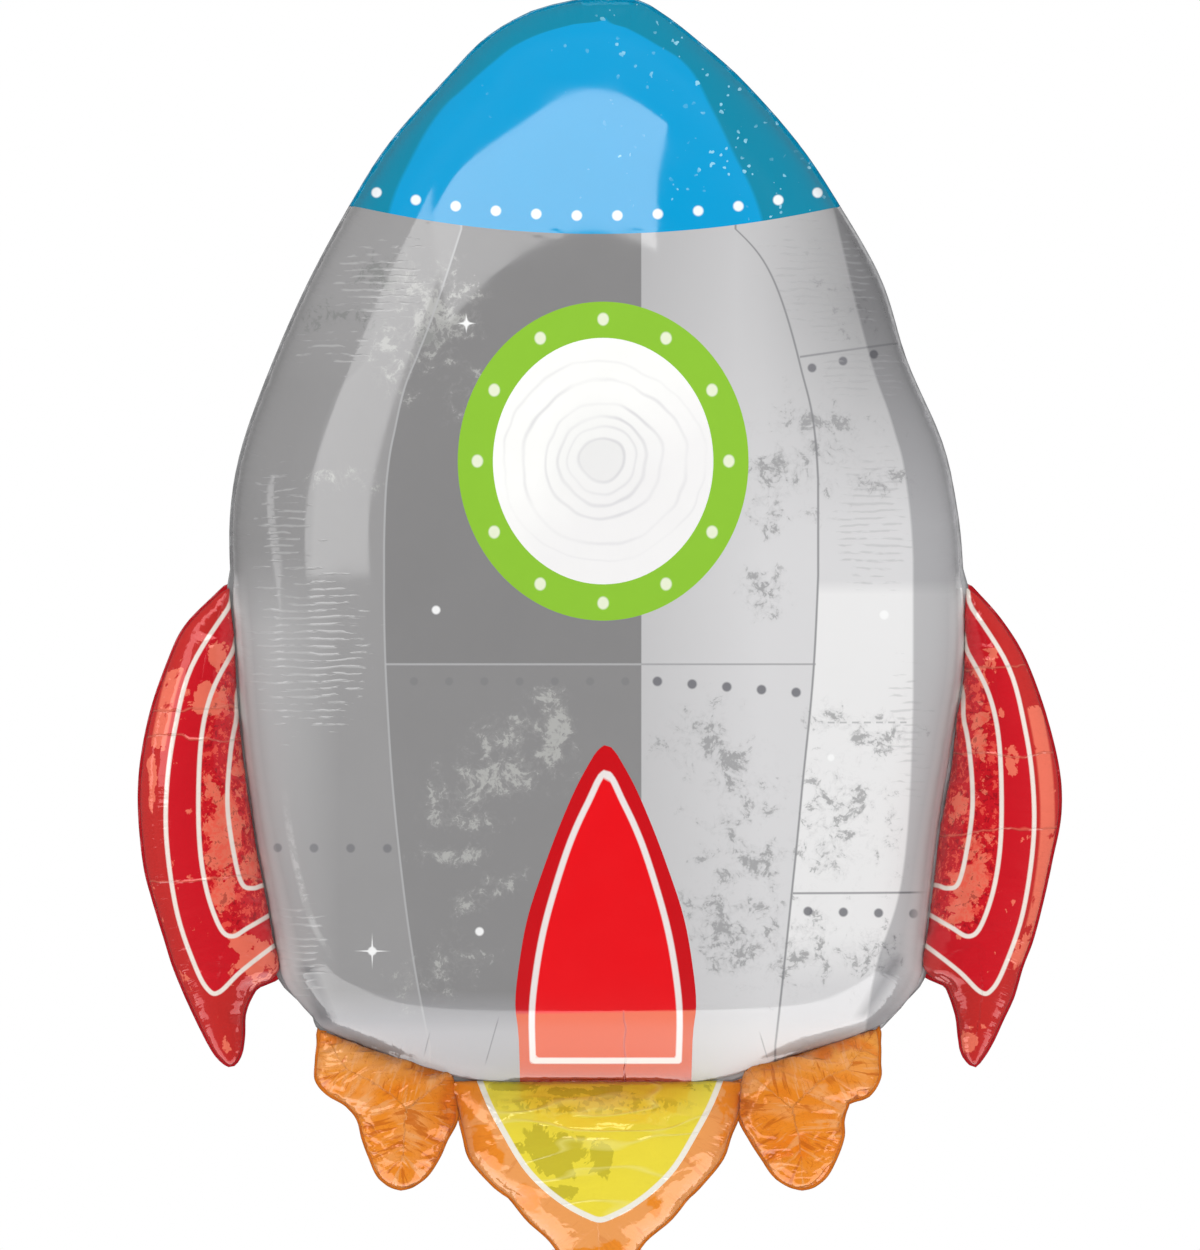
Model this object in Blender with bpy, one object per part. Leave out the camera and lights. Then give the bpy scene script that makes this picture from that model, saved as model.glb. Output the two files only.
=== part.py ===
# Rocket foil balloon: two printed foil sheets, heat-sealed round six gas chambers.
# The frame is in metres: +X to the viewer's right, +Y away from the viewer, +Z up.
# The origin is in the seam plane, at the widest part of the hull chamber.
import math

import bmesh
import bpy
from mathutils import Matrix, Vector

MM = 0.001

# Envelope and seam, in millimetres
wall = 10.0  # shell thickness of the inflated envelope
seamBand = 3.0  # flat sealed border outside each chamber
foilPlate = 1.2  # thickness of the sealed border
gap = 0.3  # clearance between pieces that touch
thinnest = 2.0  # a chamber or hollow ends where its half depth or half width falls below this
longestEnd = 12.0  # farthest that a chamber's or hollow's end reaches past its last ring
steepest = 0.5  # limit on how much a slanting edge widens an inset
cutDepth = 400.0  # length of a cutter through the balloon

# Printed zones, in millimetres: centre x, centre z and half sizes
noseBorderRadius = 587.0
noseBorderLow = 187.0
porthole = {"x": 3.5, "z": 56.5, "outerX": 83.4, "outerZ": 91.5, "innerX": 63.2, "innerZ": 70.7}
portholeSegments = 48
finPrintX = 5.0
corePrintX = 1.7

# Tabs, in millimetres
hangTab = {"x": 6.0, "halfWidth": 16.0, "top": 334.0, "root": 312.0, "corner": 6.0}
tail = {"halfTop": 24.0, "halfWidth": 15.0, "root": -396.0, "neck": -424.0, "end": -470.0, "corner": 4.0}

# Hull and nose chamber: left x, right x, height, half depth
hullTable = (
    (2, 2, 325, 0),
    (-16, 27, 321, 11),
    (-43, 40, 314, 19),
    (-66, 58, 300, 36),
    (-88, 84, 277, 56),
    (-119, 115, 242, 79),
    (-141, 138, 208, 95),
    (-166, 164, 162, 112),
    (-187, 179, 115, 125),
    (-204, 199, 69, 134),
    (-211, 207, 35, 138),
    (-212, 211, 0, 139),
    (-208, 212, -54, 138),
    (-205, 206, -98, 134),
    (-198, 197, -153, 125),
    (-190, 192, -196, 112),
    (-185, 189, -225, 99),
    (-182, 187, -241, 90),
    (-173, 179, -254, 81),
    (-164, 170, -264, 71),
    (-158, 159, -271, 61),
    (-131, 124, -282, 44),
    (-102, 94, -292, 29),
    (-77, 72, -298, 18),
    (-53, 53, -301, 9),
    (1, 1, -303, 0),
)

# Side fin chambers: left x, left z, right x, right z, half depth
leftFinTable = (
    (-211, -13, -211, -13, 0),
    (-224, -23, -208, -29, 7),
    (-239, -39, -206, -46, 12),
    (-248, -58, -205, -69, 17),
    (-258, -87, -203, -93, 22),
    (-264, -118, -200, -121, 25),
    (-265, -145, -196, -147, 26),
    (-262, -176, -193, -167, 26),
    (-257, -196, -188, -193, 25),
    (-250, -219, -184, -216, 24),
    (-245, -235, -180, -238, 22),
    (-238, -252, -194, -246, 19),
    (-232, -265, -202, -260, 14),
    (-225, -279, -203, -275, 10),
    (-219, -288, -205, -286, 6),
    (-211, -293, -211, -293, 0),
)
rightFinTable = (
    (212, -13, 212, -13, 0),
    (209, -29, 224, -23, 7),
    (209, -46, 237, -39, 12),
    (208, -69, 248, -58, 17),
    (204, -93, 259, -88, 22),
    (201, -121, 267, -121, 25),
    (196, -147, 268, -147, 26),
    (193, -167, 263, -173, 26),
    (190, -193, 258, -196, 25),
    (187, -216, 252, -219, 24),
    (185, -237, 246, -235, 22),
    (199, -245, 241, -252, 19),
    (206, -261, 235, -265, 14),
    (208, -275, 229, -278, 10),
    (210, -285, 223, -288, 6),
    (217, -293, 217, -293, 0),
)

# Side flame chambers: left x, left z, right x, right z, half depth
leftFlameTable = (
    (-160, -269, -160, -269, 0),
    (-162, -280, -141, -275, 8),
    (-163, -290, -118, -283, 14),
    (-163, -300, -95, -290, 18),
    (-157, -308, -81, -295, 20),
    (-146, -315, -80, -309, 21),
    (-139, -323, -80, -323, 21),
    (-136, -334, -86, -335, 19),
    (-132, -345, -91, -346, 16),
    (-126, -357, -99, -357, 10),
    (-113, -364, -113, -364, 0),
)
rightFlameTable = (
    (162, -268, 162, -268, 0),
    (143, -273, 164, -280, 8),
    (119, -281, 164, -290, 14),
    (97, -288, 164, -299, 18),
    (83, -292, 158, -309, 20),
    (81, -308, 147, -314, 21),
    (81, -322, 143, -323, 21),
    (87, -334, 143, -333, 19),
    (94, -345, 138, -347, 16),
    (103, -357, 131, -358, 10),
    (118, -364, 118, -364, 0),
)

# Centre flame chamber: left x, right x, height, half depth
centreFlameTable = (
    (1, 1, -299, 0),
    (-84, 85, -300, 5),
    (-83, 84, -310, 20),
    (-81, 83, -320, 31),
    (-78, 78, -332, 37),
    (-74, 73, -346, 37),
    (-61, 61, -361, 33),
    (-51, 53, -369, 30),
    (-41, 43, -381, 24),
    (-29, 30, -392, 17),
    (-20, 21, -403, 11),
    (-11, 13, -410, 6),
    (1, 1, -415, 0),
)

# Printed centre fin: half width, height
finPrintTable = (
    (0, -106),
    (13, -123),
    (25, -149),
    (36, -178),
    (45, -206),
    (50, -234),
    (52, -256),
    (50, -277),
    (49, -310),
)

# Printed flame core: half width, height
corePrintTable = (
    (75, -290),
    (66, -313),
    (57, -330),
    (45, -350),
    (33, -363),
    (20, -373),
    (9, -379),
    (0, -382),
)

# Base colour, roughness and metallic value of each printed colour
finishes = {
    "blue_foil": ((0.0, 0.30, 0.63), 0.22, 0.8),
    "silver_foil": ((0.42, 0.41, 0.45), 0.25, 0.9),
    "green_foil": ((0.26, 0.56, 0.06), 0.3, 0.6),
    "white_foil": ((0.93, 0.93, 0.91), 0.35, 0.1),
    "red_foil": ((0.75, 0.03, 0.04), 0.22, 0.8),
    "orange_foil": ((0.85, 0.25, 0.03), 0.22, 0.8),
    "yellow_foil": ((0.85, 0.60, 0.06), 0.22, 0.8),
}


def startScene():
    """Empties the scene and makes the collections for the parts and the cutters."""
    for old in list(bpy.data.objects):
        bpy.data.objects.remove(old, do_unlink=True)
    made = []
    for name in ("rocket_foil_balloon", "cutters"):
        collection = bpy.data.collections.new(name)
        bpy.context.scene.collection.children.link(collection)
        made.append(collection)
    return made


def makeMaterials():
    made = {}
    for name, (colour, roughness, metallic) in finishes.items():
        material = bpy.data.materials.new(name)
        material.use_nodes = True
        shader = material.node_tree.nodes["Principled BSDF"]
        shader.inputs["Base Color"].default_value = (*colour, 1.0)
        shader.inputs["Roughness"].default_value = roughness
        shader.inputs["Metallic"].default_value = metallic
        made[name] = material
    return made


def addObject(name, mesh, material=None):
    """Links a mesh as a part, or as a cutter when it has no material."""
    obj = bpy.data.objects.new(name, mesh)
    if material:
        mesh.materials.append(material)
        partCollection.objects.link(obj)
    else:
        cutterCollection.objects.link(obj)
        obj.hide_render = True
        obj.display_type = "WIRE"
    return obj


def levelSections(table):
    """Turns rows of left x, right x, height and half depth into left point, right point, depth."""
    return [(Vector((left, z)), Vector((right, z)), depth) for left, right, z, depth in table]


def slantedSections(table):
    """Turns rows of left and right points and half depth into left point, right point, depth."""
    return [(Vector(row[0:2]), Vector(row[2:4]), row[4]) for row in table]


def smoothed(sections, steps):
    """Adds sections between the rows on a Catmull-Rom curve; past a pole the sides swap."""
    last = len(sections) - 1

    def row(index):
        if 0 <= index <= last:
            return sections[index]
        left, right, depth = sections[-index if index < 0 else 2 * last - index]
        return right, left, -depth

    result = []
    for start in range(last):
        a, b, c, d = (row(start + k) for k in (-1, 0, 1, 2))
        for step in range(steps):
            t = step / steps
            section = []
            for p, q, r, s in zip(a, b, c, d):
                bend = (2 * p - 5 * q + 4 * r - s) * t * t + (3 * q - 3 * r + s - p) * t * t * t
                section.append(0.5 * (2 * q + (r - p) * t + bend))
            result.append(tuple(section))
    result.append(sections[last])
    return result


def outlineOf(sections):
    """The closed outline: down the left side and up the right side."""
    left = [section[0] for section in sections]
    right = [section[1] for section in sections[1:-1]]
    return left + right[::-1]


def outwardNormals(points):
    """The outward direction at each point of a closed outline."""
    normals = []
    for index in range(len(points)):
        along = (points[(index + 1) % len(points)] - points[index - 1]).normalized()
        normals.append(Vector((along.y, -along.x)))
    return normals


def offsetOutline(points, distance):
    """Moves each point of a closed outline outwards by a distance."""
    return [point + normal * distance for point, normal in zip(points, outwardNormals(points))]


def insetSections(sections, margin, thinner):
    """Shrinks a chamber by a margin in the seam plane and by another in depth."""
    count = len(sections)
    normals = outwardNormals(outlineOf(sections))
    leftNormals = normals[:count]
    rightNormals = [normals[0]] + normals[count:][::-1] + [normals[count - 1]]
    top = sections[0][0] - normals[0] * margin
    bottom = sections[-1][0] - normals[count - 1] * margin
    axis = (top - bottom).normalized()
    kept = []
    for (left, right, depth), leftOut, rightOut in list(zip(sections, leftNormals, rightNormals))[1:-1]:
        width = (right - left).length
        across = (right - left) / width
        newLeft = left + across * margin / max(steepest, -leftOut.dot(across))
        newRight = right - across * margin / max(steepest, rightOut.dot(across))
        middle = (newLeft + newRight) / 2
        wide = (newRight - newLeft).dot(across) > 2 * thinnest
        deep = depth - thinner > thinnest
        inside = min((top - middle).dot(axis), (middle - bottom).dot(axis)) > thinnest / 2
        if wide and deep and inside:
            kept.append((newLeft, newRight, depth - thinner))
    ends = []
    for pole, section, outward in ((top, kept[0], axis), (bottom, kept[-1], -axis)):
        middle = (section[0] + section[1]) / 2
        reach = min((pole - middle).dot(outward), longestEnd)
        end = middle + outward * reach
        ends.append((end, end, 0.0))
    return [ends[0]] + kept + [ends[1]]


def pillowMesh(name, sections, segments):
    """A sphere whose rings are set to the sections, each one an ellipse across the seam plane."""
    rings = len(sections) - 1
    bm = bmesh.new()
    bmesh.ops.create_uvsphere(bm, u_segments=segments, v_segments=rings, radius=1.0)
    for vert in bm.verts:
        ring = round(math.acos(max(-1.0, min(1.0, vert.co.z))) / math.pi * rings)
        turn = math.atan2(vert.co.y, vert.co.x)
        left, right, depth = sections[ring]
        spot = (left + right) / 2 + (right - left) / 2 * math.cos(turn)
        vert.co = Vector((spot.x, depth * math.sin(turn), spot.y)) * MM
    bmesh.ops.recalc_face_normals(bm, faces=bm.faces)
    mesh = bpy.data.meshes.new(name)
    bm.to_mesh(mesh)
    bm.free()
    mesh.polygons.foreach_set("use_smooth", [True] * len(mesh.polygons))
    return mesh


def plateMesh(name, loops, thickness):
    """One outline, or an outline and its hole, in the seam plane as a filled 2D curve with a thickness."""
    curve = bpy.data.curves.new(name, "CURVE")
    curve.dimensions = "2D"
    curve.fill_mode = "BOTH"
    curve.extrude = thickness / 2 * MM
    for points in loops:
        spline = curve.splines.new("POLY")
        spline.points.add(len(points) - 1)
        for target, point in zip(spline.points, points):
            target.co = (point.x * MM, point.y * MM, 0.0, 1.0)
        spline.use_cyclic_u = True
    holder = bpy.data.objects.new(name, curve)
    cutterCollection.objects.link(holder)
    bpy.context.view_layer.update()
    mesh = bpy.data.meshes.new_from_object(holder.evaluated_get(bpy.context.evaluated_depsgraph_get()))
    bpy.data.objects.remove(holder)
    mesh.transform(Matrix.Rotation(math.radians(90), 4, "X"))
    bm = bmesh.new()
    bm.from_mesh(mesh)
    bmesh.ops.remove_doubles(bm, verts=bm.verts, dist=0.00001)
    bmesh.ops.recalc_face_normals(bm, faces=bm.faces)
    bm.to_mesh(mesh)
    bm.free()
    mesh.name = name
    return mesh


def ellipseCutter(name, x, z, halfX, halfZ, segments):
    """An elliptical cylinder along Y through the balloon."""
    place = Matrix.Translation((x * MM, 0, z * MM)) @ Matrix.Rotation(math.radians(90), 4, "X")
    bm = bmesh.new()
    bmesh.ops.create_cone(
        bm,
        cap_ends=True,
        segments=segments,
        radius1=1.0,
        radius2=1.0,
        depth=cutDepth * MM,
        matrix=place @ Matrix.Diagonal((halfX * MM, halfZ * MM, 1.0, 1.0)),
    )
    mesh = bpy.data.meshes.new(name)
    bm.to_mesh(mesh)
    bm.free()
    return addObject(name, mesh)


def frontBox(name):
    """The half space in front of the sealed border."""
    size = 1000.0
    near = foilPlate / 2 + gap
    bm = bmesh.new()
    bmesh.ops.create_cube(bm, size=size * MM, matrix=Matrix.Translation((0, -(near + size / 2) * MM, 0)))
    mesh = bpy.data.meshes.new(name)
    bm.to_mesh(mesh)
    bm.free()
    return addObject(name, mesh)


def cut(obj, operation, cutter):
    modifier = obj.modifiers.new(f"{operation.lower()} {cutter.name}", "BOOLEAN")
    modifier.operation = operation
    modifier.object = cutter


def mirroredPrint(table, centreX):
    """A printed outline from rows of half width and height."""
    left = [Vector((centreX - half, z)) for half, z in table]
    right = [Vector((centreX + half, z)) for half, z in table if half > 0]
    return left + right[::-1]


def roundedTab(x, halfTop, halfEnd, root, neck, end, corner):
    """The outline of a flat tab from its root to a far end with rounded corners."""
    away = 1 if end > root else -1
    side = [Vector((halfTop, root)), Vector((halfEnd, neck))]
    for step in range(5):
        turn = math.radians(90 * step / 4)
        across = halfEnd - corner + corner * math.cos(turn)
        side.append(Vector((across, end - away * corner * (1 - math.sin(turn)))))
    other = [Vector((-point.x, point.y)) for point in side[::-1]]
    return [Vector((point.x + x, point.y)) for point in side + other]


partCollection, cutterCollection = startScene()
materials = makeMaterials()
frontHalf = frontBox("front_half")

# Chambers: sections of the foil's edge, loft rings for each row, segments round each pillow
chambers = {
    "hull": (levelSections(hullTable), 2, 40),
    "fin_left": (slantedSections(leftFinTable), 1, 12),
    "fin_right": (slantedSections(rightFinTable), 1, 12),
    "flame_left": (slantedSections(leftFlameTable), 1, 12),
    "flame_right": (slantedSections(rightFlameTable), 1, 12),
    "flame_centre": (levelSections(centreFlameTable), 1, 20),
}
pillows = {}
hollows = {}
outlines = {}
holes = {}
for name, (rows, ringSteps, segments) in chambers.items():
    edge = smoothed(rows, ringSteps)
    pillow = insetSections(edge, seamBand, 0.0)
    hollow = insetSections(edge, seamBand + wall, wall)
    outlines[name] = outlineOf(edge)
    holes[name] = outlineOf(hollow)
    pillows[name] = pillowMesh(f"{name}_pillow", pillow, segments)
    hollows[name] = addObject(f"{name}_hollow", pillowMesh(f"{name}_hollow", hollow, segments))


def frontShell(name, chamber, colour, inside, outside):
    """The front half of a chamber's envelope, kept inside some zones and outside others."""
    obj = addObject(f"{name}_front", pillows[chamber].copy(), materials[colour])
    cut(obj, "INTERSECT", frontHalf)
    for zone in inside:
        cut(obj, "INTERSECT", zone)
    for zone in outside:
        cut(obj, "DIFFERENCE", zone)
    cut(obj, "DIFFERENCE", hollows[chamber])
    return obj


def backShell(name, front, colour):
    """The back half: the front half's finished mesh mirrored in the seam plane."""
    depsgraph = bpy.context.evaluated_depsgraph_get()
    mesh = bpy.data.meshes.new_from_object(front.evaluated_get(depsgraph))
    mesh.name = f"{name}_back"
    mesh.transform(Matrix.Scale(-1, 4, Vector((0, 1, 0))))
    mesh.flip_normals()
    mesh.materials.clear()
    addObject(f"{name}_back", mesh, materials[colour])


def edgeCutter(name):
    """A chamber's outline, a gap wider all round, through the whole balloon."""
    wider = offsetOutline(outlines[name], gap)
    return addObject(f"{name}_edge", plateMesh(f"{name}_edge", [wider], cutDepth))


# Printed zones of the hull chamber
borderZ = noseBorderLow + noseBorderRadius
noseZone = ellipseCutter("nose_zone", 0, borderZ, noseBorderRadius, noseBorderRadius, 160)
noseRoom = ellipseCutter("nose_room", 0, borderZ, noseBorderRadius + gap, noseBorderRadius + gap, 160)
ringZones = {}
for edgeName in ("outer", "inner"):
    for kind, extra in (("zone", 0.0), ("room", gap)):
        ringZones[edgeName, kind] = ellipseCutter(
            f"porthole_{edgeName}_{kind}",
            porthole["x"],
            porthole["z"],
            porthole[f"{edgeName}X"] + extra,
            porthole[f"{edgeName}Z"] + extra,
            portholeSegments,
        )
finOutline = mirroredPrint(finPrintTable, finPrintX)
finZone = addObject("centre_fin_zone", plateMesh("centre_fin_zone", [finOutline], cutDepth))
finRoomOutline = offsetOutline(finOutline, gap)
finRoom = addObject("centre_fin_room", plateMesh("centre_fin_room", [finRoomOutline], cutDepth))
coreOutline = mirroredPrint(corePrintTable, corePrintX)
coreZone = addObject("core_zone", plateMesh("core_zone", [coreOutline], cutDepth))
coreRoomOutline = offsetOutline(coreOutline, gap)
coreRoom = addObject("core_room", plateMesh("core_room", [coreRoomOutline], cutDepth))

# Inflated envelope: name, chamber, colour, zones it is kept inside, zones left out of it
hullEdge = edgeCutter("hull")
centreFlameEdge = edgeCutter("flame_centre")
envelopePlan = (
    ("nose", "hull", "blue_foil", (noseZone,), ()),
    ("hull", "hull", "silver_foil", (), (noseRoom, ringZones["outer", "room"], finRoom)),
    ("porthole_ring", "hull", "green_foil", (ringZones["outer", "zone"],), (ringZones["inner", "room"],)),
    ("porthole_window", "hull", "white_foil", (ringZones["inner", "zone"],), ()),
    ("centre_fin", "hull", "red_foil", (finZone,), ()),
    ("fin_left", "fin_left", "red_foil", (), ()),
    ("fin_right", "fin_right", "red_foil", (), ()),
    ("flame_left", "flame_left", "orange_foil", (), ()),
    ("flame_right", "flame_right", "orange_foil", (), ()),
    ("flame_centre", "flame_centre", "orange_foil", (), (coreRoom,)),
    ("flame_core", "flame_centre", "yellow_foil", (coreZone,), ()),
)
fronts = [(plan[0], frontShell(*plan), plan[2]) for plan in envelopePlan]
bpy.context.view_layer.update()
for name, front, colour in fronts:
    backShell(name, front, colour)

# Sealed border: a flat plate round each chamber, under the shells' rims and the seam band
sealPlan = (
    ("seal_nose", "hull", "blue_foil", (noseZone,), ()),
    ("seal_hull", "hull", "silver_foil", (), (noseRoom,)),
    ("seal_fin_left", "fin_left", "red_foil", (), (hullEdge,)),
    ("seal_fin_right", "fin_right", "red_foil", (), (hullEdge,)),
    ("seal_flame_left", "flame_left", "orange_foil", (), (hullEdge, centreFlameEdge)),
    ("seal_flame_right", "flame_right", "orange_foil", (), (hullEdge, centreFlameEdge)),
    ("seal_flame_centre", "flame_centre", "orange_foil", (), (hullEdge,)),
)
for name, chamber, colour, inside, outside in sealPlan:
    seal = addObject(name, plateMesh(name, [outlines[chamber], holes[chamber]], foilPlate), materials[colour])
    for cutter in inside:
        cut(seal, "INTERSECT", cutter)
    for cutter in outside:
        cut(seal, "DIFFERENCE", cutter)

# Flat tabs: the hang tab above the nose and the filling tail below the centre flame
tabOutline = roundedTab(
    hangTab["x"],
    hangTab["halfWidth"],
    hangTab["halfWidth"],
    hangTab["root"],
    hangTab["root"] + hangTab["corner"],
    hangTab["top"],
    hangTab["corner"],
)
tab = addObject("hang_tab", plateMesh("hang_tab", [tabOutline], foilPlate), materials["blue_foil"])
cut(tab, "DIFFERENCE", hullEdge)
tailOutline = roundedTab(
    0.0, tail["halfTop"], tail["halfWidth"], tail["root"], tail["neck"], tail["end"], tail["corner"]
)
tailMesh = plateMesh("filling_tail", [tailOutline], foilPlate)
tailTab = addObject("filling_tail", tailMesh, materials["orange_foil"])
cut(tailTab, "DIFFERENCE", centreFlameEdge)
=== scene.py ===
import math

import bmesh
import bpy
import numpy as np
from mathutils.kdtree import KDTree
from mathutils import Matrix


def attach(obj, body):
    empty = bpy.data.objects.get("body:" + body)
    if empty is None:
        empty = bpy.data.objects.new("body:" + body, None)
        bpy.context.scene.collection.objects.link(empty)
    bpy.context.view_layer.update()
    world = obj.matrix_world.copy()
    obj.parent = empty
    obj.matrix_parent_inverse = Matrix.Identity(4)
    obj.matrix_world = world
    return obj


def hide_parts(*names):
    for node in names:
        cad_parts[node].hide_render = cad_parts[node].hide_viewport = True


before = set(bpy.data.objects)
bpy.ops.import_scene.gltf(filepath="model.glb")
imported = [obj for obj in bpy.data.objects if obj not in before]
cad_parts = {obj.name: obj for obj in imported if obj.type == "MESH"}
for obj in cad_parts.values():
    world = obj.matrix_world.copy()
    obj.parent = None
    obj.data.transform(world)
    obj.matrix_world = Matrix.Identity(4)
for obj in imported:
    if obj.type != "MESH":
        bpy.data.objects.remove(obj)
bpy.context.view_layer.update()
mm = 0.001
print("frame loaded")


# Shader values

def addNode(tree, kind, **values):
    node = tree.nodes.new("ShaderNode" + kind)
    for name, value in values.items():
        setattr(node, name, value)
    return node


def feed(socket, value):
    # links a value, or sets a number, a vector or a colour
    if isinstance(value, Value):
        socket.id_data.links.new(value.socket, socket)
    else:
        socket.default_value = value


def feedAll(node, **values):
    for name, value in values.items():
        feed(node.inputs[name.replace("_", " ")], value)


def reckon(operation, *values, clamp=False):
    tree = next(value.tree for value in values if isinstance(value, Value))
    node = addNode(tree, "Math", operation=operation, use_clamp=clamp)
    for socket, value in zip(node.inputs, values):
        feed(socket, value)
    return Value(node.outputs[0])


class Value:
    # a number, vector or colour in a node tree, which can be reckoned with
    def __init__(self, socket):
        self.socket = socket
        self.tree = socket.id_data

    def __add__(self, other):
        return reckon("ADD", self, other)

    def __sub__(self, other):
        return reckon("SUBTRACT", self, other)

    def __rsub__(self, other):
        return reckon("SUBTRACT", other, self)

    def __mul__(self, other):
        return reckon("MULTIPLY", self, other)

    def __truediv__(self, other):
        return reckon("DIVIDE", self, other)

    def __gt__(self, other):
        return reckon("GREATER_THAN", self, other)

    def __lt__(self, other):
        return reckon("LESS_THAN", self, other)

    def __abs__(self):
        return reckon("ABSOLUTE", self)

    def sloped(self, slope, start):
        return reckon("MULTIPLY_ADD", self, slope, start)

    def within(self, low, high):
        return (self > low) * (self < high)

    def ramp(self, low, high, toLow=0.0, toHigh=1.0, kind="LINEAR"):
        node = addNode(self.tree, "MapRange", interpolation_type=kind)
        for socket, value in zip(node.inputs, (self, low, high, toLow, toHigh)):
            feed(socket, value)
        return Value(node.outputs[0])

    def noise(self, scale, detail, roughness, distortion=0.0):
        node = addNode(self.tree, "TexNoise")
        feedAll(node, Vector=self, Scale=scale, Detail=detail, Roughness=roughness, Distortion=distortion)
        return Value(node.outputs["Fac"])

    def ridge(self, *settings):
        # zero along winding lines
        return abs(self.noise(*settings) - 0.5)

    def swing(self, amount):
        # turns noise into a number about zero
        return self.ramp(0.3, 0.7, -amount, amount)

    def fraction(self):
        # place between two whole numbers, from -0.5 to 0.5
        return reckon("FRACT", self) - 0.5

    def scaled(self, factors):
        node = addNode(self.tree, "VectorMath", operation="MULTIPLY")
        feed(node.inputs[0], self)
        feed(node.inputs[1], factors)
        return Value(node.outputs[0])

    def parts(self):
        node = addNode(self.tree, "SeparateXYZ")
        feed(node.inputs[0], self)
        return [Value(output) for output in node.outputs]


# Studio: camera, lights, floor

cameraSettings = {"distance": 20.0, "viewHeight": 0.7213, "x": 0.0017, "z": -0.0375, "sensor": 24.0}
studioSettings = {
    "floorZ": -0.95,
    "floorSize": 24.0,
    "backdrop": 1.0,
    "fill": (0.94, 1.24),  # soft light from all round, from below and from above
    # mirrored surround: share from the camera's side to the far side, brightness
    "mirrored": ((0.0, 0.03), (0.30, 0.08), (0.52, 0.16), (0.60, 0.10), (1.0, 0.09)),
}
# name: place, turn in degrees, width, height, radiance
softboxes = {
    "topPanel": ((-0.605, -1.235, 1.80), (0, 0, 0), 2.69, 1.33, 2.5),
    "leftStrip": ((-1.95, -0.78, 0.84), (90, 0, -90), 1.04, 1.92, 2.0),
    "rearStrip": ((-1.95, 0.50, 0.12), (90, -39, -90), 0.17, 0.66, 1.3),
    "floorPanel": ((-0.05, 0.345, -0.93), (180, 0, 0), 3.10, 0.81, 1.5),
}


def buildCamera():
    s = cameraSettings
    cameraData = bpy.data.cameras.new("camera")
    cameraData.sensor_fit = "VERTICAL"
    cameraData.sensor_height = s["sensor"]
    cameraData.lens = s["sensor"] * s["distance"] / s["viewHeight"]
    cameraData.clip_end = 5 * s["distance"]
    camera = bpy.data.objects.new("camera", cameraData)
    camera.location = (s["x"], -s["distance"], s["z"])
    camera.rotation_euler = (math.radians(90), 0, 0)
    bpy.context.scene.collection.objects.link(camera)
    bpy.context.scene.camera = camera


def buildLights():
    for name, (place, turn, width, height, radiance) in softboxes.items():
        light = bpy.data.lights.new(name, "AREA")
        light.shape = "RECTANGLE"
        light.size, light.size_y = width, height
        light.energy = radiance * math.pi * width * height
        lamp = bpy.data.objects.new(name, light)
        lamp.location = place
        lamp.rotation_euler = [math.radians(angle) for angle in turn]
        lamp.visible_camera = False
        lamp.visible_diffuse = False  # only the gloss shows it
        bpy.context.scene.collection.objects.link(lamp)


def buildSurround():
    # a white backdrop, an even soft fill, and a dimmer room in the mirrored rays
    world = bpy.data.worlds.new("studio")
    bpy.context.scene.world = world
    world.use_nodes = True
    tree = world.node_tree
    tree.nodes.clear()
    s = studioSettings
    _, y, z = Value(addNode(tree, "TexCoord").outputs["Generated"]).parts()
    fade = addNode(tree, "ValToRGB")
    feed(fade.inputs[0], y.ramp(-1.0, 1.0))
    stops = fade.color_ramp.elements
    while len(stops) < len(s["mirrored"]):
        stops.new(0.5)
    for stop, (where, level) in zip(stops, s["mirrored"]):
        stop.position = where
        stop.color = (level, level, level, 1)
    fill, mirrored, backdrop = (addNode(tree, "Background") for _ in range(3))
    feedAll(fill, Color=(1, 1, 1, 1), Strength=z.ramp(-1.0, 1.0, *s["fill"]))
    feedAll(mirrored, Color=Value(fade.outputs["Color"]))
    feedAll(backdrop, Color=(1, 1, 1, 1), Strength=s["backdrop"])
    path = addNode(tree, "LightPath")
    seen = fill
    for ray, other in (("Is Glossy Ray", mirrored), ("Is Camera Ray", backdrop)):
        mix = addNode(tree, "MixShader")
        for socket, output in zip(mix.inputs, (path.outputs[ray], seen.outputs[0], other.outputs[0])):
            feed(socket, Value(output))
        seen = mix
    feedAll(addNode(tree, "OutputWorld"), Surface=Value(seen.outputs[0]))


def buildFloor():
    bpy.ops.object.select_all(action="DESELECT")
    s = studioSettings
    bpy.ops.mesh.primitive_plane_add(size=s["floorSize"], location=(0, 0, s["floorZ"]))
    floor = bpy.context.object
    floor.name = "floor"
    material = bpy.data.materials.new("floorPaint")
    material.use_nodes = True
    feedAll(material.node_tree.nodes["Principled BSDF"], Base_Color=(0.82, 0.82, 0.82, 1), Roughness=0.9)
    floor.data.materials.append(material)
    floor.visible_glossy = False


bpy.context.scene.view_settings.view_transform = "Standard"
buildCamera()
buildLights()
buildSurround()
buildFloor()
print("studio built")


# Chamber forms in millimetres: rows of left x, left z, right x, right z, half depth

def levelRows(*levels):
    # from levels of left x, right x, z, half depth
    return [(left, z, right, z, depth) for left, right, z, depth in levels]


finFoil = {
    "rings": 72, "segments": 32, "puckerEvery": 6.5, "puckerDepth": 0.8, "puckerReach": 16.0, "crumple": 1.5,
}
flameFoil = {
    "rings": 44, "segments": 40, "puckerEvery": 6.0, "puckerDepth": 1.0, "puckerReach": 14.0, "crumple": 2.6,
}
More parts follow.
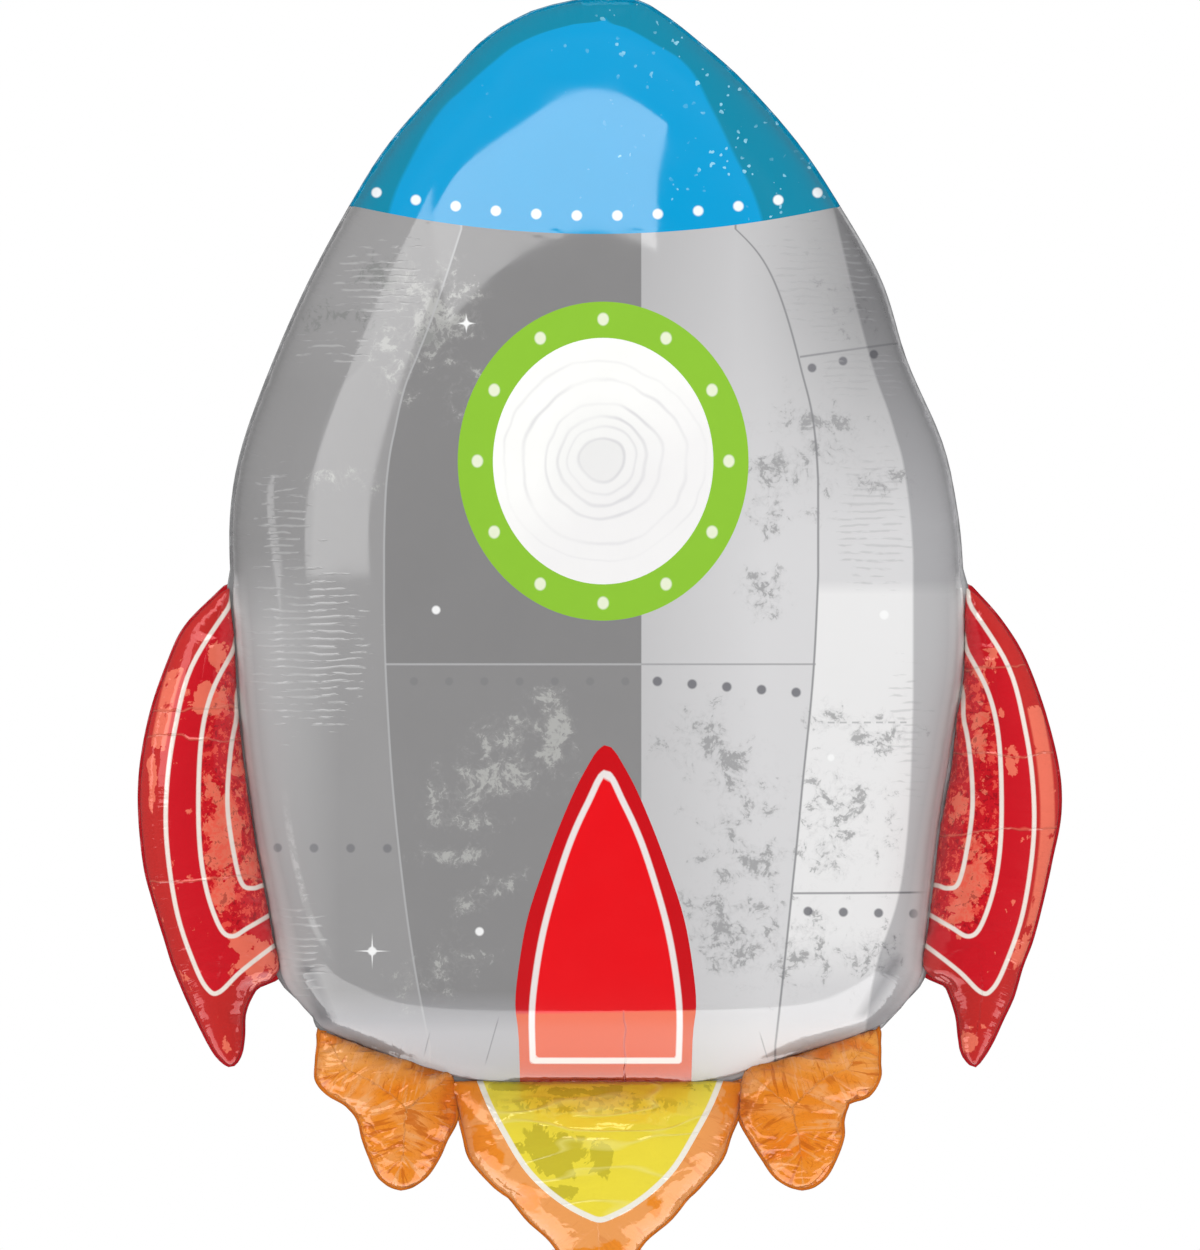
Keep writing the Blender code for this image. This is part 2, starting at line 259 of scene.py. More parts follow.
# rings and segments of the first mesh, seam puckers, creases
chamberSettings = {
    "hull": {
        "rings": 96, "segments": 80, "seed": 3,
        "puckerEvery": 8.5, "puckerDepth": 0.75, "puckerReach": 34.0, "crumple": 0.0,
        "rows": levelRows(
            (2, 2, 325, 0), (-16, 27, 321, 11), (-43, 40, 314, 19), (-66, 58, 300, 36), (-88, 84, 277, 56),
            (-119, 115, 242, 79), (-141, 138, 208, 95), (-166, 164, 162, 112), (-187, 179, 115, 125),
            (-204, 199, 69, 134), (-211, 207, 35, 138), (-212, 211, 0, 139), (-208, 212, -54, 138),
            (-205, 206, -98, 134), (-198, 197, -153, 125), (-190, 192, -196, 112), (-185, 189, -225, 99),
            (-182, 187, -241, 90), (-173, 179, -254, 81), (-164, 170, -264, 71), (-158, 159, -271, 61),
            (-131, 124, -282, 44), (-102, 94, -292, 29), (-77, 72, -298, 18), (-53, 53, -301, 9),
            (1, 1, -303, 0)),
    },
    "finLeft": {
        **finFoil, "seed": 5, "smoothSide": (-240, -205),
        "rows": (
            (-211, -13, -211, -13, 0), (-224, -23, -208, -29, 7), (-239, -39, -206, -46, 12),
            (-248, -58, -205, -69, 17), (-258, -87, -203, -93, 22), (-264, -118, -200, -121, 25),
            (-265, -145, -196, -147, 26), (-262, -176, -193, -167, 26), (-257, -196, -188, -193, 25),
            (-250, -219, -184, -216, 24), (-245, -235, -180, -238, 22), (-238, -252, -194, -246, 19),
            (-232, -265, -202, -260, 14), (-225, -279, -203, -275, 10), (-219, -288, -205, -286, 6),
            (-211, -293, -211, -293, 0)),
    },
    "finRight": {
        **finFoil, "seed": 8, "smoothSide": (243, 208),
        "rows": (
            (212, -13, 212, -13, 0), (209, -29, 224, -23, 7), (209, -46, 237, -39, 12),
            (208, -69, 248, -58, 17), (204, -93, 259, -88, 22), (201, -121, 267, -121, 25),
            (196, -147, 268, -147, 26), (193, -167, 263, -173, 26), (190, -193, 258, -196, 25),
            (187, -216, 252, -219, 24), (185, -237, 246, -235, 22), (199, -245, 241, -252, 19),
            (206, -261, 235, -265, 14), (208, -275, 229, -278, 10), (210, -285, 223, -288, 6),
            (217, -293, 217, -293, 0)),
    },
    "flameLeft": {
        **flameFoil, "seed": 11,
        "rows": (
            (-160, -269, -160, -269, 0), (-162, -280, -141, -275, 8), (-163, -290, -118, -283, 14),
            (-163, -300, -95, -290, 18), (-157, -308, -81, -295, 20), (-146, -315, -80, -309, 21),
            (-139, -323, -80, -323, 21), (-136, -334, -86, -335, 19), (-132, -345, -91, -346, 16),
            (-126, -357, -99, -357, 10), (-113, -364, -113, -364, 0)),
    },
    "flameRight": {
        **flameFoil, "seed": 13,
        "rows": (
            (162, -268, 162, -268, 0), (143, -273, 164, -280, 8), (119, -281, 164, -290, 14),
            (97, -288, 164, -299, 18), (83, -292, 158, -309, 20), (81, -308, 147, -314, 21),
            (81, -322, 143, -323, 21), (87, -334, 143, -333, 19), (94, -345, 138, -347, 16),
            (103, -357, 131, -358, 10), (118, -364, 118, -364, 0)),
    },
    "flameCentre": {
        "rings": 56, "segments": 56, "seed": 17,
        "puckerEvery": 7.0, "puckerDepth": 0.8, "puckerReach": 16.0, "crumple": 0.8,
        "rows": levelRows(
            (1, 1, -299, 0), (-84, 85, -300, 5), (-83, 84, -310, 20), (-81, 83, -320, 31),
            (-78, 78, -332, 37), (-74, 73, -346, 37), (-61, 61, -361, 33), (-51, 53, -369, 30),
            (-41, 43, -381, 24), (-29, 30, -392, 17), (-20, 21, -403, 11), (-11, 13, -410, 6),
            (1, 1, -415, 0)),
    },
}
seamSettings = {
    "band": 3.0, "wave": 0.5, "waveReach": 2.5, "thickness": 0.36, "hullThickness": 0.5,
    # how far the foil is drawn out over the border, by height on the hull and by its distance elsewhere
    "drawn": 1.5, "drawnReach": 8, "hullDrawn": ((-262, -250, -24, -10), (2.4, 3.2, 3.2, 1.5)),
    "flameDrawn": ((4, 9), (2.6, 1.5)),
    # ribbon of the border: spacing, part under the chamber, what it adds below and beside the hull
    "step": 1.6, "overlap": 0.5, "lowExtra": 2.6, "sideExtra": 2.4, "rimWave": 0.7,
    # how far outside the hull's and the centre flame's outlines the other borders begin
    "hullGap": 0.6, "flameGap": -1.5,
}
foilLevels = 2
followDepth = 0.12  # share of the depth that the shaders' places keep


def splineThrough(held, steps):
    # a smooth curve through all but the first and the last held point
    made = []
    for a, b, c, d in zip(held, held[1:], held[2:], held[3:]):
        for t in np.arange(steps) / steps:
            made.append(0.5 * (2 * b + (c - a) * t + (2 * a - 5 * b + 4 * c - d) * t ** 2
                               + (3 * b - 3 * c + d - a) * t ** 3))
    return made


def smoothRows(rows, steps):
    rows = np.array(rows, float)
    before, after = (row[[2, 3, 0, 1, 4]] * (1, 1, 1, 1, -1) for row in (rows[1], rows[-2]))
    held = np.vstack([before, rows, after])  # past a pole the sides swap
    return np.vstack([splineThrough(held, steps), rows[-1:]])


def smoothLoop(points, steps, closed=True):
    points = np.array(points, float)
    first, last = (points[-1:], points[:2]) if closed else (points[:1], points[-1:])
    made = splineThrough(np.vstack([first, points, last]), steps)
    return np.array(made if closed else made + [points[-1]])


def outlineOf(rows):
    return np.vstack([rows[:, 0:2], rows[-2:0:-1, 2:4]])


def outwardNormals(points):
    along = np.roll(points, -1, 0) - np.roll(points, 1, 0)
    along /= np.linalg.norm(along, axis=1)[:, None]
    return np.stack([along[:, 1], -along[:, 0]], 1)


def runAlong(points):
    return np.concatenate([[0], np.cumsum(np.linalg.norm(np.diff(points, axis=0), axis=1))])


def evenLoop(points, step):
    # evenly spaced points of a closed loop, their places along it and its length
    closed = np.vstack([points, points[:1]])
    run = runAlong(closed)
    count = int(run[-1] / step)
    at = np.arange(count) * run[-1] / count
    return np.stack([np.interp(at, run, column) for column in closed.T], 1), at, run[-1]


def insetRows(rows, margin):
    # the rows inside the sealed border, without those too close to a tip, too narrow or too thin
    tipGap, narrowest, thinnest = 0.8, 3, 1.5
    count = len(rows)
    normals = outwardNormals(outlineOf(rows))
    leftOut = normals[:count]
    rightOut = np.vstack([normals[:1], normals[count:][::-1], normals[count - 1:count]])
    top = rows[0, 0:2] - normals[0] * margin
    bottom = rows[-1, 0:2] - normals[count - 1] * margin
    axis = (top - bottom) / np.linalg.norm(top - bottom)
    kept = []
    for row, outLeft, outRight in list(zip(rows, leftOut, rightOut))[1:-1]:
        left, right = row[0:2], row[2:4]
        across = (right - left) / max(np.linalg.norm(right - left), 1e-6)
        newLeft = left + across * margin / max(0.5, -outLeft @ across)
        newRight = right - across * margin / max(0.5, outRight @ across)
        middle = (newLeft + newRight) / 2
        inside = min((top - middle) @ axis, (middle - bottom) @ axis) > tipGap
        if (newRight - newLeft) @ across > narrowest and row[4] > thinnest and inside:
            kept.append((*newLeft, *newRight, row[4]))
    return np.vstack([(*top, *top, 0), kept, (*bottom, *bottom, 0)])


def evenRows(rows, count):
    middle = (rows[:, 0:2] + rows[:, 2:4]) / 2
    half = np.linalg.norm(rows[:, 2:4] - rows[:, 0:2], axis=1)[:, None] / 2
    run = runAlong(np.hstack([middle, rows[:, 4:5], half * 0.7]))
    at = np.linspace(0, run[-1], count + 1)
    return np.stack([np.interp(at, run, column) for column in rows.T], 1)


def readAll(items, word, width=1, kind=float):
    values = np.empty(len(items) * width, kind)
    items.foreach_get(word, values)
    return values.reshape(-1, width) if width > 1 else values


def readPoints(mesh):
    return readAll(mesh.vertices, "co", 3)


def readFlat(mesh):
    # x and z in millimetres
    return readPoints(mesh)[:, [0, 2]] / mm


def writePoints(mesh, points):
    mesh.vertices.foreach_set("co", points.astype(np.float32).ravel())
    mesh.update()


def setAttribute(mesh, name, values, kind="FLOAT"):
    layer = mesh.attributes.get(name) or mesh.attributes.new(name, kind, "POINT")
    layer.data.foreach_set("vector" if kind == "FLOAT_VECTOR" else "value", values.astype(np.float32).ravel())


def getAttribute(mesh, name):
    return readAll(mesh.attributes[name].data, "value")


def shadeSmooth(mesh):
    mesh.polygons.foreach_set("use_smooth", np.ones(len(mesh.polygons), bool))


def pickOnly(obj):
    if bpy.context.mode != "OBJECT":
        bpy.ops.object.mode_set(mode="OBJECT")
    bpy.ops.object.select_all(action="DESELECT")
    obj.select_set(True)
    bpy.context.view_layer.objects.active = obj


def applyModifier(obj, name, kind, **values):
    pickOnly(obj)
    modifier = obj.modifiers.new(name, kind)
    for key, value in values.items():
        setattr(modifier, key, value)
    bpy.ops.object.modifier_apply(modifier=modifier.name)


def noiseField(points, size, seed):
    # smooth value noise in numpy, about -1 to 1, with cells of the given size
    at = points / size + seed * 17.13
    cell = np.floor(at).astype(np.int64)
    part = at - cell
    part = part * part * (3 - 2 * part)
    total = np.zeros(len(points))
    for corner in range(8):
        offset = np.array([corner & 1, corner >> 1 & 1, corner >> 2 & 1])
        key = ((cell + offset) * (73856093, 19349663, 83492791)).sum(1) & 0x7FFFFFFF
        key = (key ^ (key >> 13)) * 1274126177 & 0x7FFFFFFF
        value = (key ^ (key >> 11)) % 65536 / 32767.5 - 1
        total += value * np.prod(np.where(offset, part, 1 - part), axis=1)
    return total


def creaseField(points, size, seed):
    # ridged noise: flat facets that meet in sharp creases
    total = np.zeros(len(points))
    for level, share in enumerate((1.0, 0.5, 0.25)):
        shifts = [noiseField(points, size * 0.9, seed + 31 + k) for k in range(3)]
        warped = points + size * 0.35 * np.stack(shifts, 1)
        total += share * (0.5 - np.abs(noiseField(warped, size / 2 ** level, seed + level * 7)) * 1.6)
    return total


def seamMap(points, outline):
    # place along the seam of the nearest spot, distance from it, that spot, its outward way, seam's length
    spots, at, length = evenLoop(outline, 0.5)
    outward = outwardNormals(spots)
    tree = KDTree(len(spots))
    for index, (x, z) in enumerate(spots):
        tree.insert((x, 0, z), index)
    tree.balance()
    flat = points[:, [0, 2]] / mm
    found = np.array([tree.find((x, 0, z))[1] for x, z in flat])
    outward = outward[found]
    ahead = np.stack([-outward[:, 1], outward[:, 0]], 1)
    shift = ((flat - spots[found]) * ahead).sum(1).clip(-0.6, 0.6)
    nearest = spots[found] + ahead * shift[:, None]
    away = np.linalg.norm(flat - nearest, axis=1)
    return at[found] + shift, np.hypot(away, points[:, 1] / mm), nearest, outward, length


def seamWave(run):
    return seamSettings["wave"] * np.sin(run / 3.1 + 1.2 * np.sin(run / 23.0))


def puckers(run, away, length, settings):
    # valleys that start at the seam at uneven places and fade out at uneven distances
    random = np.random.default_rng(settings["seed"])
    count = int(length / settings["puckerEvery"])
    place = (np.arange(count) + random.uniform(-0.3, 0.3, count)) * length / count
    deep = settings["puckerDepth"] * random.uniform(0.35, 1.0, count)
    reach = settings["puckerReach"] * random.uniform(0.25, 1.0, count) ** 1.6 + 5
    lean = random.normal(0, 0.05, count)
    wide = settings["puckerEvery"] * 0.30
    height = np.zeros(len(run))
    before = np.searchsorted(place, run) - 1
    rise = np.minimum(away / 4.0, 1.0) ** 0.8
    for offset in (-1, 0, 1, 2):
        index = (before + offset) % count
        gapTo = run - place[index] - lean[index] * away
        gapTo = (gapTo + length / 2) % length - length / 2
        fade = rise * np.exp(-(away / reach[index]) ** 1.5)
        height -= deep[index] * fade * np.exp(-np.abs(gapTo) / wide)
        height += deep[index] * fade * 0.45 * np.exp(-(gapTo / (wide * 2.2)) ** 2)
    return height


def loopDistance(flat, loop):
    # distance to a closed loop, negative inside it
    best = np.full(len(flat), np.inf)
    inside = np.zeros(len(flat), bool)
    for start, end in zip(loop, np.roll(loop, -1, 0)):
        way = end - start
        share = ((flat - start) @ way / max(way @ way, 1e-12)).clip(0, 1)
        best = np.minimum(best, np.linalg.norm(flat - start - share[:, None] * way, axis=1))
        spans = (start[1] > flat[:, 1]) != (end[1] > flat[:, 1])
        slope = way[0] / (way[1] if abs(way[1]) > 1e-12 else 1e-12)
        inside ^= spans & (flat[:, 0] < start[0] + (flat[:, 1] - start[1]) * slope)
    return np.where(inside, -best, best)


hullOutline, centreFlameOutline = (
    outlineOf(smoothRows(chamberSettings[name]["rows"], 8)) for name in ("hull", "flameCentre"))


def creaseFold(points, spine, rows, settings):
    # creases run across the narrow chambers
    middle = np.stack([np.interp(spine, np.arange(len(rows)), (rows[:, k] + rows[:, k + 2]) / 2)
                       for k in (0, 1)], 1)
    flat = points[:, [0, 2]] / mm
    along = np.stack([middle[:, 0] + (flat[:, 0] - middle[:, 0]) * 0.45,
                      points[:, 1] / mm * 0.6,
                      middle[:, 1] + (flat[:, 1] - middle[:, 1]) * 0.8], 1)
    fold = creaseField(along, 15.0, settings["seed"])
    if "smoothSide" in settings:
        # the outer half of a fin is drawn smooth
        start, end = settings["smoothSide"]
        fold *= 0.15 + 0.85 * ((flat[:, 0] - start) / (end - start)).clip(0, 1)
    return fold


def drawnOut(name, nearest):
    # how far the foil is drawn out over the sealed border, further where chambers meet
    s = seamSettings
    if name == "hull":
        return np.interp(nearest[:, 1], *s["hullDrawn"])
    away = loopDistance(nearest, hullOutline)
    if name == "flameCentre":
        return np.interp(away, *s["flameDrawn"])
    return s["drawn"] * ((away - 1) / 6).clip(0, 1)


def buildChamber(name, settings):
    rings = settings["rings"]
    rows = evenRows(insetRows(smoothRows(settings["rows"], 24), seamSettings["band"]), rings)
    bpy.ops.object.select_all(action="DESELECT")
    bpy.ops.mesh.primitive_uv_sphere_add(segments=settings["segments"], ring_count=rings, radius=1)
    obj = bpy.context.object
    obj.name = name
    mesh = obj.data
    unit = readPoints(mesh)
    ring = np.rint(np.arccos(unit[:, 2].clip(-1, 1)) / math.pi * rings).astype(int)
    turn = np.arctan2(unit[:, 1], unit[:, 0])
    row = rows[ring]
    spot = (row[:, 0:2] + row[:, 2:4]) / 2 + (row[:, 2:4] - row[:, 0:2]) / 2 * np.cos(turn)[:, None]
    pole = (ring == 0) | (ring == rings)
    depth = np.where(pole, 0, row[:, 4] * np.sin(turn))
    writePoints(mesh, np.stack([spot[:, 0], depth, spot[:, 1]], 1) * mm)
    setAttribute(mesh, "spine", ring / rings)
    setAttribute(mesh, "sheetSide", np.where(pole, 0, np.sin(turn)))
    applyModifier(obj, "finer foil", "SUBSURF", levels=foilLevels, render_levels=foilLevels)
    points, normals = readPoints(mesh), readAll(mesh.vertex_normals, "vector", 3)
    if normals[points[:, 1].argmin(), 1] > 0:
        raise SystemExit("the chamber's faces point inwards")
    run, away, nearest, outward, length = seamMap(points, outlineOf(rows))
    height = puckers(run, away, length, settings)
    if settings["crumple"]:
        fold = creaseFold(points, getAttribute(mesh, "spine") * rings, rows, settings)
        setAttribute(mesh, "fold", fold)
        height += settings["crumple"] * fold * np.minimum(away / 9, 1)
    points += normals * (height * mm)[:, None]
    points[:, 1] += seamWave(run) * np.exp(-away / seamSettings["waveReach"]) * mm
    drawn = drawnOut(name, nearest) * np.exp(-(away / seamSettings["drawnReach"]) ** 2)
    points[:, [0, 2]] += outward * drawn[:, None] * mm
    writePoints(mesh, points)
    # places for the shaders, which hardly change from the seam inwards
    seam = np.stack([nearest[:, 0], np.zeros(len(run)), nearest[:, 1]], 1) * mm
    setAttribute(mesh, "foilRun", seam + (points - seam) * followDepth, "FLOAT_VECTOR")
    setAttribute(mesh, "seamDistance", away * mm)
    shadeSmooth(mesh)
    return obj, rows


chambers = {}
for chamberName, settings in chamberSettings.items():
    chambers[chamberName] = buildChamber(chamberName, settings)
    print("chamber formed:", chamberName, len(chambers[chamberName][0].data.polygons), "faces")


# Print borders: signed distances in millimetres, negative inside

borderSettings = {
    "noseCentreZ": 774.0, "noseRadius": 587.0, "portholeX": 3.5, "portholeZ": 56.5,
    "outer": (83.4, 91.5), "inner": (63.2, 70.7),  # half width and half height of the ring
    "finX": 5.0, "coreX": 1.7, "mirrorX": 1.7, "drawnOnto": 0.35,
    # half width, height
    "fin": (
        (0, -106), (13, -123), (25, -149), (36, -178), (45, -206), (50, -234), (52, -256), (50, -277),
        (49, -330)),
    "finLine": (
        (0, -122), (10, -139), (20, -161), (29, -188), (36, -214), (40.5, -240), (42.5, -262), (42, -288.5)),
    "core": (
        (82, -270), (75, -290), (66, -313), (57, -330), (45, -350), (33, -363), (20, -373), (9, -379),
        (0, -382)),
    # white lines of the left fin, from its outer edge inwards; the right fin's are mirrored
    "sideFin": {
        "lineOuter": (
            (-203, -14), (-213, -28), (-234, -62), (-243.5, -98), (-248, -131), (-248, -164), (-242, -204),
            (-231.4, -235), (-224, -248), (-217.5, -249), (-205, -237), (-185, -221.6), (-165, -208),
            (-140, -200), (-140, -20)),
        "lineMiddle": (
            (-199, -34), (-210.6, -53.7), (-222.7, -78), (-228.5, -107), (-229.6, -153), (-226, -186),
            (-218, -210.6), (-210.6, -217), (-200.8, -211.8), (-188.7, -204.8), (-170, -194), (-140, -185),
            (-140, -40)),
        "lineInner": (
            (-200, -66), (-208.3, -93.5), (-211.8, -115.4), (-213, -142), (-209.5, -168.5), (-204.8, -186.4),
            (-198.5, -189.3), (-191.6, -187.5), (-175, -186), (-140, -180), (-140, -70)),
    },
}


def mirroredLoop(name, centreX):
    # one smooth curve over the point on the centre line, closed by a straight line
    rows = borderSettings[name]
    left = [(centreX - half, z) for half, z in rows]
    right = [(centreX + half, z) for half, z in rows if half > 0]
    return smoothLoop(left[::-1] + right if rows[0][0] == 0 else left + right[::-1], 4, closed=False)


def noseField(flat):
    b = borderSettings
    return np.hypot(flat[:, 0], flat[:, 1] - b["noseCentreZ"]) - b["noseRadius"]


def ellipseField(halfX, halfZ):
    def field(flat):
        b = borderSettings
        x, z = (flat[:, 0] - b["portholeX"]) / halfX, (flat[:, 1] - b["portholeZ"]) / halfZ
        far = np.hypot(x, z)
        steep = np.hypot(x / halfX, z / halfZ) / np.maximum(far, 1e-9)
        return (far - 1) / np.maximum(steep, 1e-9)
    return field


def loopField(loop):
    return lambda flat: loopDistance(flat, loop)


def cutAlong(obj, field):
    # splits the faces along a print border, after drawing close points onto it
    mesh = obj.data
    points = readPoints(mesh)
    flat = points[:, [0, 2]] / mm
    value = field(flat)
    near = np.abs(value) < borderSettings["drawnOnto"]
    small = 0.05  # step for the border's slope
    for axis in (0, 1):
        step = np.zeros(2)
        step[axis] = small
        slope = (field(flat[near] + step) - field(flat[near] - step)) / (2 * small)
        points[near, axis * 2] -= value[near] * slope * mm
    writePoints(mesh, points)
    value[near] = 0
    bm = bmesh.new()
    bm.from_mesh(mesh)
    bm.verts.ensure_lookup_table()
    bm.edges.ensure_lookup_table()
    ends = np.array([(edge.verts[0].index, edge.verts[1].index) for edge in bm.edges])
    crossed = np.flatnonzero(value[ends[:, 0]] * value[ends[:, 1]] < 0)
    border = [bm.verts[index] for index in np.flatnonzero(near)]
    for edge in [bm.edges[index] for index in crossed]:
        first, second = edge.verts
        share = value[first.index] / (value[first.index] - value[second.index])
        border.append(bmesh.utils.edge_split(edge, first, share)[1])
    bmesh.ops.connect_verts(bm, verts=border)
    bm.to_mesh(mesh)
    bm.free()


def faceMiddles(mesh):
    return readAll(mesh.polygons, "center", 3)[:, [0, 2]] / mm


def faceSides(mesh):
    # -1 for a face of the front sheet, 1 for one of the back sheet
    corners = readAll(mesh.loops, "vertex_index", kind=np.int64)
    starts = readAll(mesh.polygons, "loop_start", kind=np.int64)
    return np.sign(np.add.reduceat(getAttribute(mesh, "sheetSide")[corners], starts))


def takeFaces(obj, picked):
    # separates the picked faces into a piece of their own
    pickOnly(obj)
    mesh = obj.data
    mesh.polygons.foreach_set("select", picked)
    mesh.update()
    bpy.ops.object.mode_set(mode="EDIT")
    bpy.ops.mesh.select_mode(type="FACE")
    bpy.ops.object.mode_set(mode="OBJECT")
    mesh.vertices.foreach_set("select", np.zeros(len(mesh.vertices), bool))
    mesh.edges.foreach_set("select", np.zeros(len(mesh.edges), bool))
    mesh.polygons.foreach_set("select", picked)
    bpy.ops.object.mode_set(mode="EDIT")
    bpy.ops.mesh.separate(type="SELECTED")
    bpy.ops.object.mode_set(mode="OBJECT")
    return next(piece for piece in bpy.context.selected_objects if piece is not obj)


pieces = {}


def splitChamber(chamberName, rest, fields={}, lines={}):
    # cuts a chamber at its print borders, notes its printed lines, and takes the front and back pieces
    obj = chambers[chamberName][0]
    mesh = obj.data
    for field in fields.values():
        cutAlong(obj, field)
    for name, field in lines.items():
        setAttribute(mesh, name, field(readFlat(mesh)) * mm)
    setAttribute(mesh, "foilNormal", readAll(mesh.vertex_normals, "vector", 3), "FLOAT_VECTOR")
    made = []
    for zone, name in (*enumerate(fields, 1), (0, rest)):
        for side, word in ((-1, "front"), (1, "back")):
            middles = faceMiddles(mesh)
            found = np.zeros(len(middles), int)
            for index, field in enumerate(fields.values(), 1):
                found[field(middles) < 0] = index
            picked = (found == zone) & (faceSides(mesh) == side)
            piece = obj if picked.all() else takeFaces(obj, picked)
            piece.name = piece.data.name = f"{name}_{word}"
            pieces[piece.name] = piece
            made.append(piece.data)
    for mesh in made:
        held = readAll(mesh.attributes["foilNormal"].data, "vector", 3, np.float32)
        held /= np.maximum(np.linalg.norm(held, axis=1), 1e-9)[:, None]
        mesh.normals_split_custom_set_from_vertices(held.tolist())
        mesh.attributes.remove(mesh.attributes["foilNormal"])


finX = borderSettings["finX"]
splitChamber("hull", "foil_hull", {
    "foil_nose": noseField,
    "foil_porthole_ring": ellipseField(*borderSettings["outer"]),
    "foil_porthole_window": ellipseField(*borderSettings["inner"]),
    "foil_centre_fin": loopField(mirroredLoop("fin", finX)),
}, {"finLine": loopField(mirroredLoop("finLine", finX))})
coreField = loopField(mirroredLoop("core", borderSettings["coreX"]))
splitChamber("flameCentre", "foil_flame_centre", {"foil_flame_core": coreField}, {"coreLine": coreField})
print("hull and centre flame split at the print borders")

for word, start, turn in (("left", 0, 1), ("right", 2 * borderSettings["mirrorX"], -1)):
    splitChamber(f"fin{word.title()}", f"foil_fin_{word}", lines={
        line: loopField(smoothLoop([(start + turn * x, z) for x, z in points], 6))
        for line, points in borderSettings["sideFin"].items()})
for word in ("left", "right"):
    splitChamber(f"flame{word.title()}", f"foil_flame_{word}")
print("fins and side flames split into front and back sheets")


# Sealed border: thin wavy ribbons round the chambers

def finishSheet(obj, thickness, away):
    # turned to the front, given its thickness and the shaders' attributes
    mesh = obj.data
    if np.mean([face.normal.y for face in mesh.polygons]) > 0:
        mesh.flip_normals()
    applyModifier(obj, "foil thickness", "SOLIDIFY", thickness=thickness * mm, offset=0.0)
    setAttribute(mesh, "foilRun", readPoints(mesh) * (1, followDepth, 1), "FLOAT_VECTOR")
    setAttribute(mesh, "seamDistance", np.full(len(mesh.vertices), away))
    shadeSmooth(mesh)


def buildRibbon(name, chamberName, keep):
    s = seamSettings
    inner, run, _ = evenLoop(outlineOf(chambers[chamberName][1]), s["step"])
    columns = 4
    bpy.ops.object.select_all(action="DESELECT")
    bpy.ops.mesh.primitive_grid_add(x_subdivisions=len(inner), y_subdivisions=columns - 1, size=2)
    ribbon = bpy.context.object
    mesh = ribbon.data
    ribbon.name = mesh.name = name
    grid = readPoints(mesh)
    index = np.rint((grid[:, 0] + 1) / 2 * len(inner)).astype(int) % len(inner)
    share = (grid[:, 1] + 1) / 2
    extra = 0
    calm = ((loopDistance(inner[index], hullOutline) - 4) / 8).clip(0, 1)
    if chamberName == "hull":
        # this border reaches a little further, to close up with the flames and fins
        z = inner[index, 1]
        low = ((-z - 262) / 12).clip(0, 1)
        beside = ((-z - 5) / 10).clip(0, 1) * ((z + 252) / 12).clip(0, 1)
        extra = s["lowExtra"] * low + s["sideExtra"] * beside
        calm = 1 - np.maximum(low, beside)
    across = -s["overlap"] + share * (s["band"] + s["overlap"] + extra)
    flat = inner[index] + outwardNormals(inner)[index] * across[:, None]
    wave = seamWave(run) + 0.35 * np.sin(run / 7.7 + 2.0)
    y = wave[index] * (1 + share * s["rimWave"]) * calm
    writePoints(mesh, np.stack([flat[:, 0], y, flat[:, 1]], 1) * mm)
    setAttribute(mesh, "rim", share)
    pickOnly(ribbon)
    bpy.ops.object.mode_set(mode="EDIT")
    bpy.ops.mesh.select_all(action="SELECT")
    bpy.ops.mesh.remove_doubles(threshold=0.00001)
    bpy.ops.object.mode_set(mode="OBJECT")
    dropped = np.flatnonzero(~keep(faceMiddles(mesh)))
    if len(dropped):
        bm = bmesh.new()
        bm.from_mesh(mesh)
        bm.faces.ensure_lookup_table()
        bmesh.ops.delete(bm, geom=[bm.faces[index] for index in dropped], context="FACES")
        bm.to_mesh(mesh)
        bm.free()
    finishSheet(ribbon, s["hullThickness" if chamberName == "hull" else "thickness"], 0)
    return ribbon


def outsideHull(flat):
    return loopDistance(flat, hullOutline) > seamSettings["hullGap"]


def outsideBoth(flat):
    return outsideHull(flat) & (loopDistance(flat, centreFlameOutline) > seamSettings["flameGap"])


ribbons = {name: buildRibbon(name, chamberName, keep) for name, chamberName, keep in (
    ("seam_nose", "hull", lambda flat: noseField(flat) < 0),
    ("seam_hull", "hull", lambda flat: noseField(flat) >= 0),
    ("seam_fin_left", "finLeft", outsideHull),
    ("seam_fin_right", "finRight", outsideHull),
    ("seam_flame_left", "flameLeft", outsideBoth),
    ("seam_flame_right", "flameRight", outsideBoth),
    ("seam_flame_centre", "flameCentre", outsideHull),
)}
print("sealed border built")


# Flat tabs: rows of half width and height from the root outwards

tabSettings = {
    "hang_tab_foil": {
        "x": 6.0, "wave": 0.3,
        "rows": ((16, 322), (16, 328), (15.2, 331.5), (13.2, 333.4), (10, 334)),
    },
    "filling_tail_foil": {
        "x": 0.0, "wave": 0.9,
        "rows": ((26, -398), (22, -408), (16, -424), (15, -436), (15, -462), (14.6, -466.5), (13, -469.2),
                 (10, -470)),
    },
}
tabMesh = {"along": 36, "across": 20}


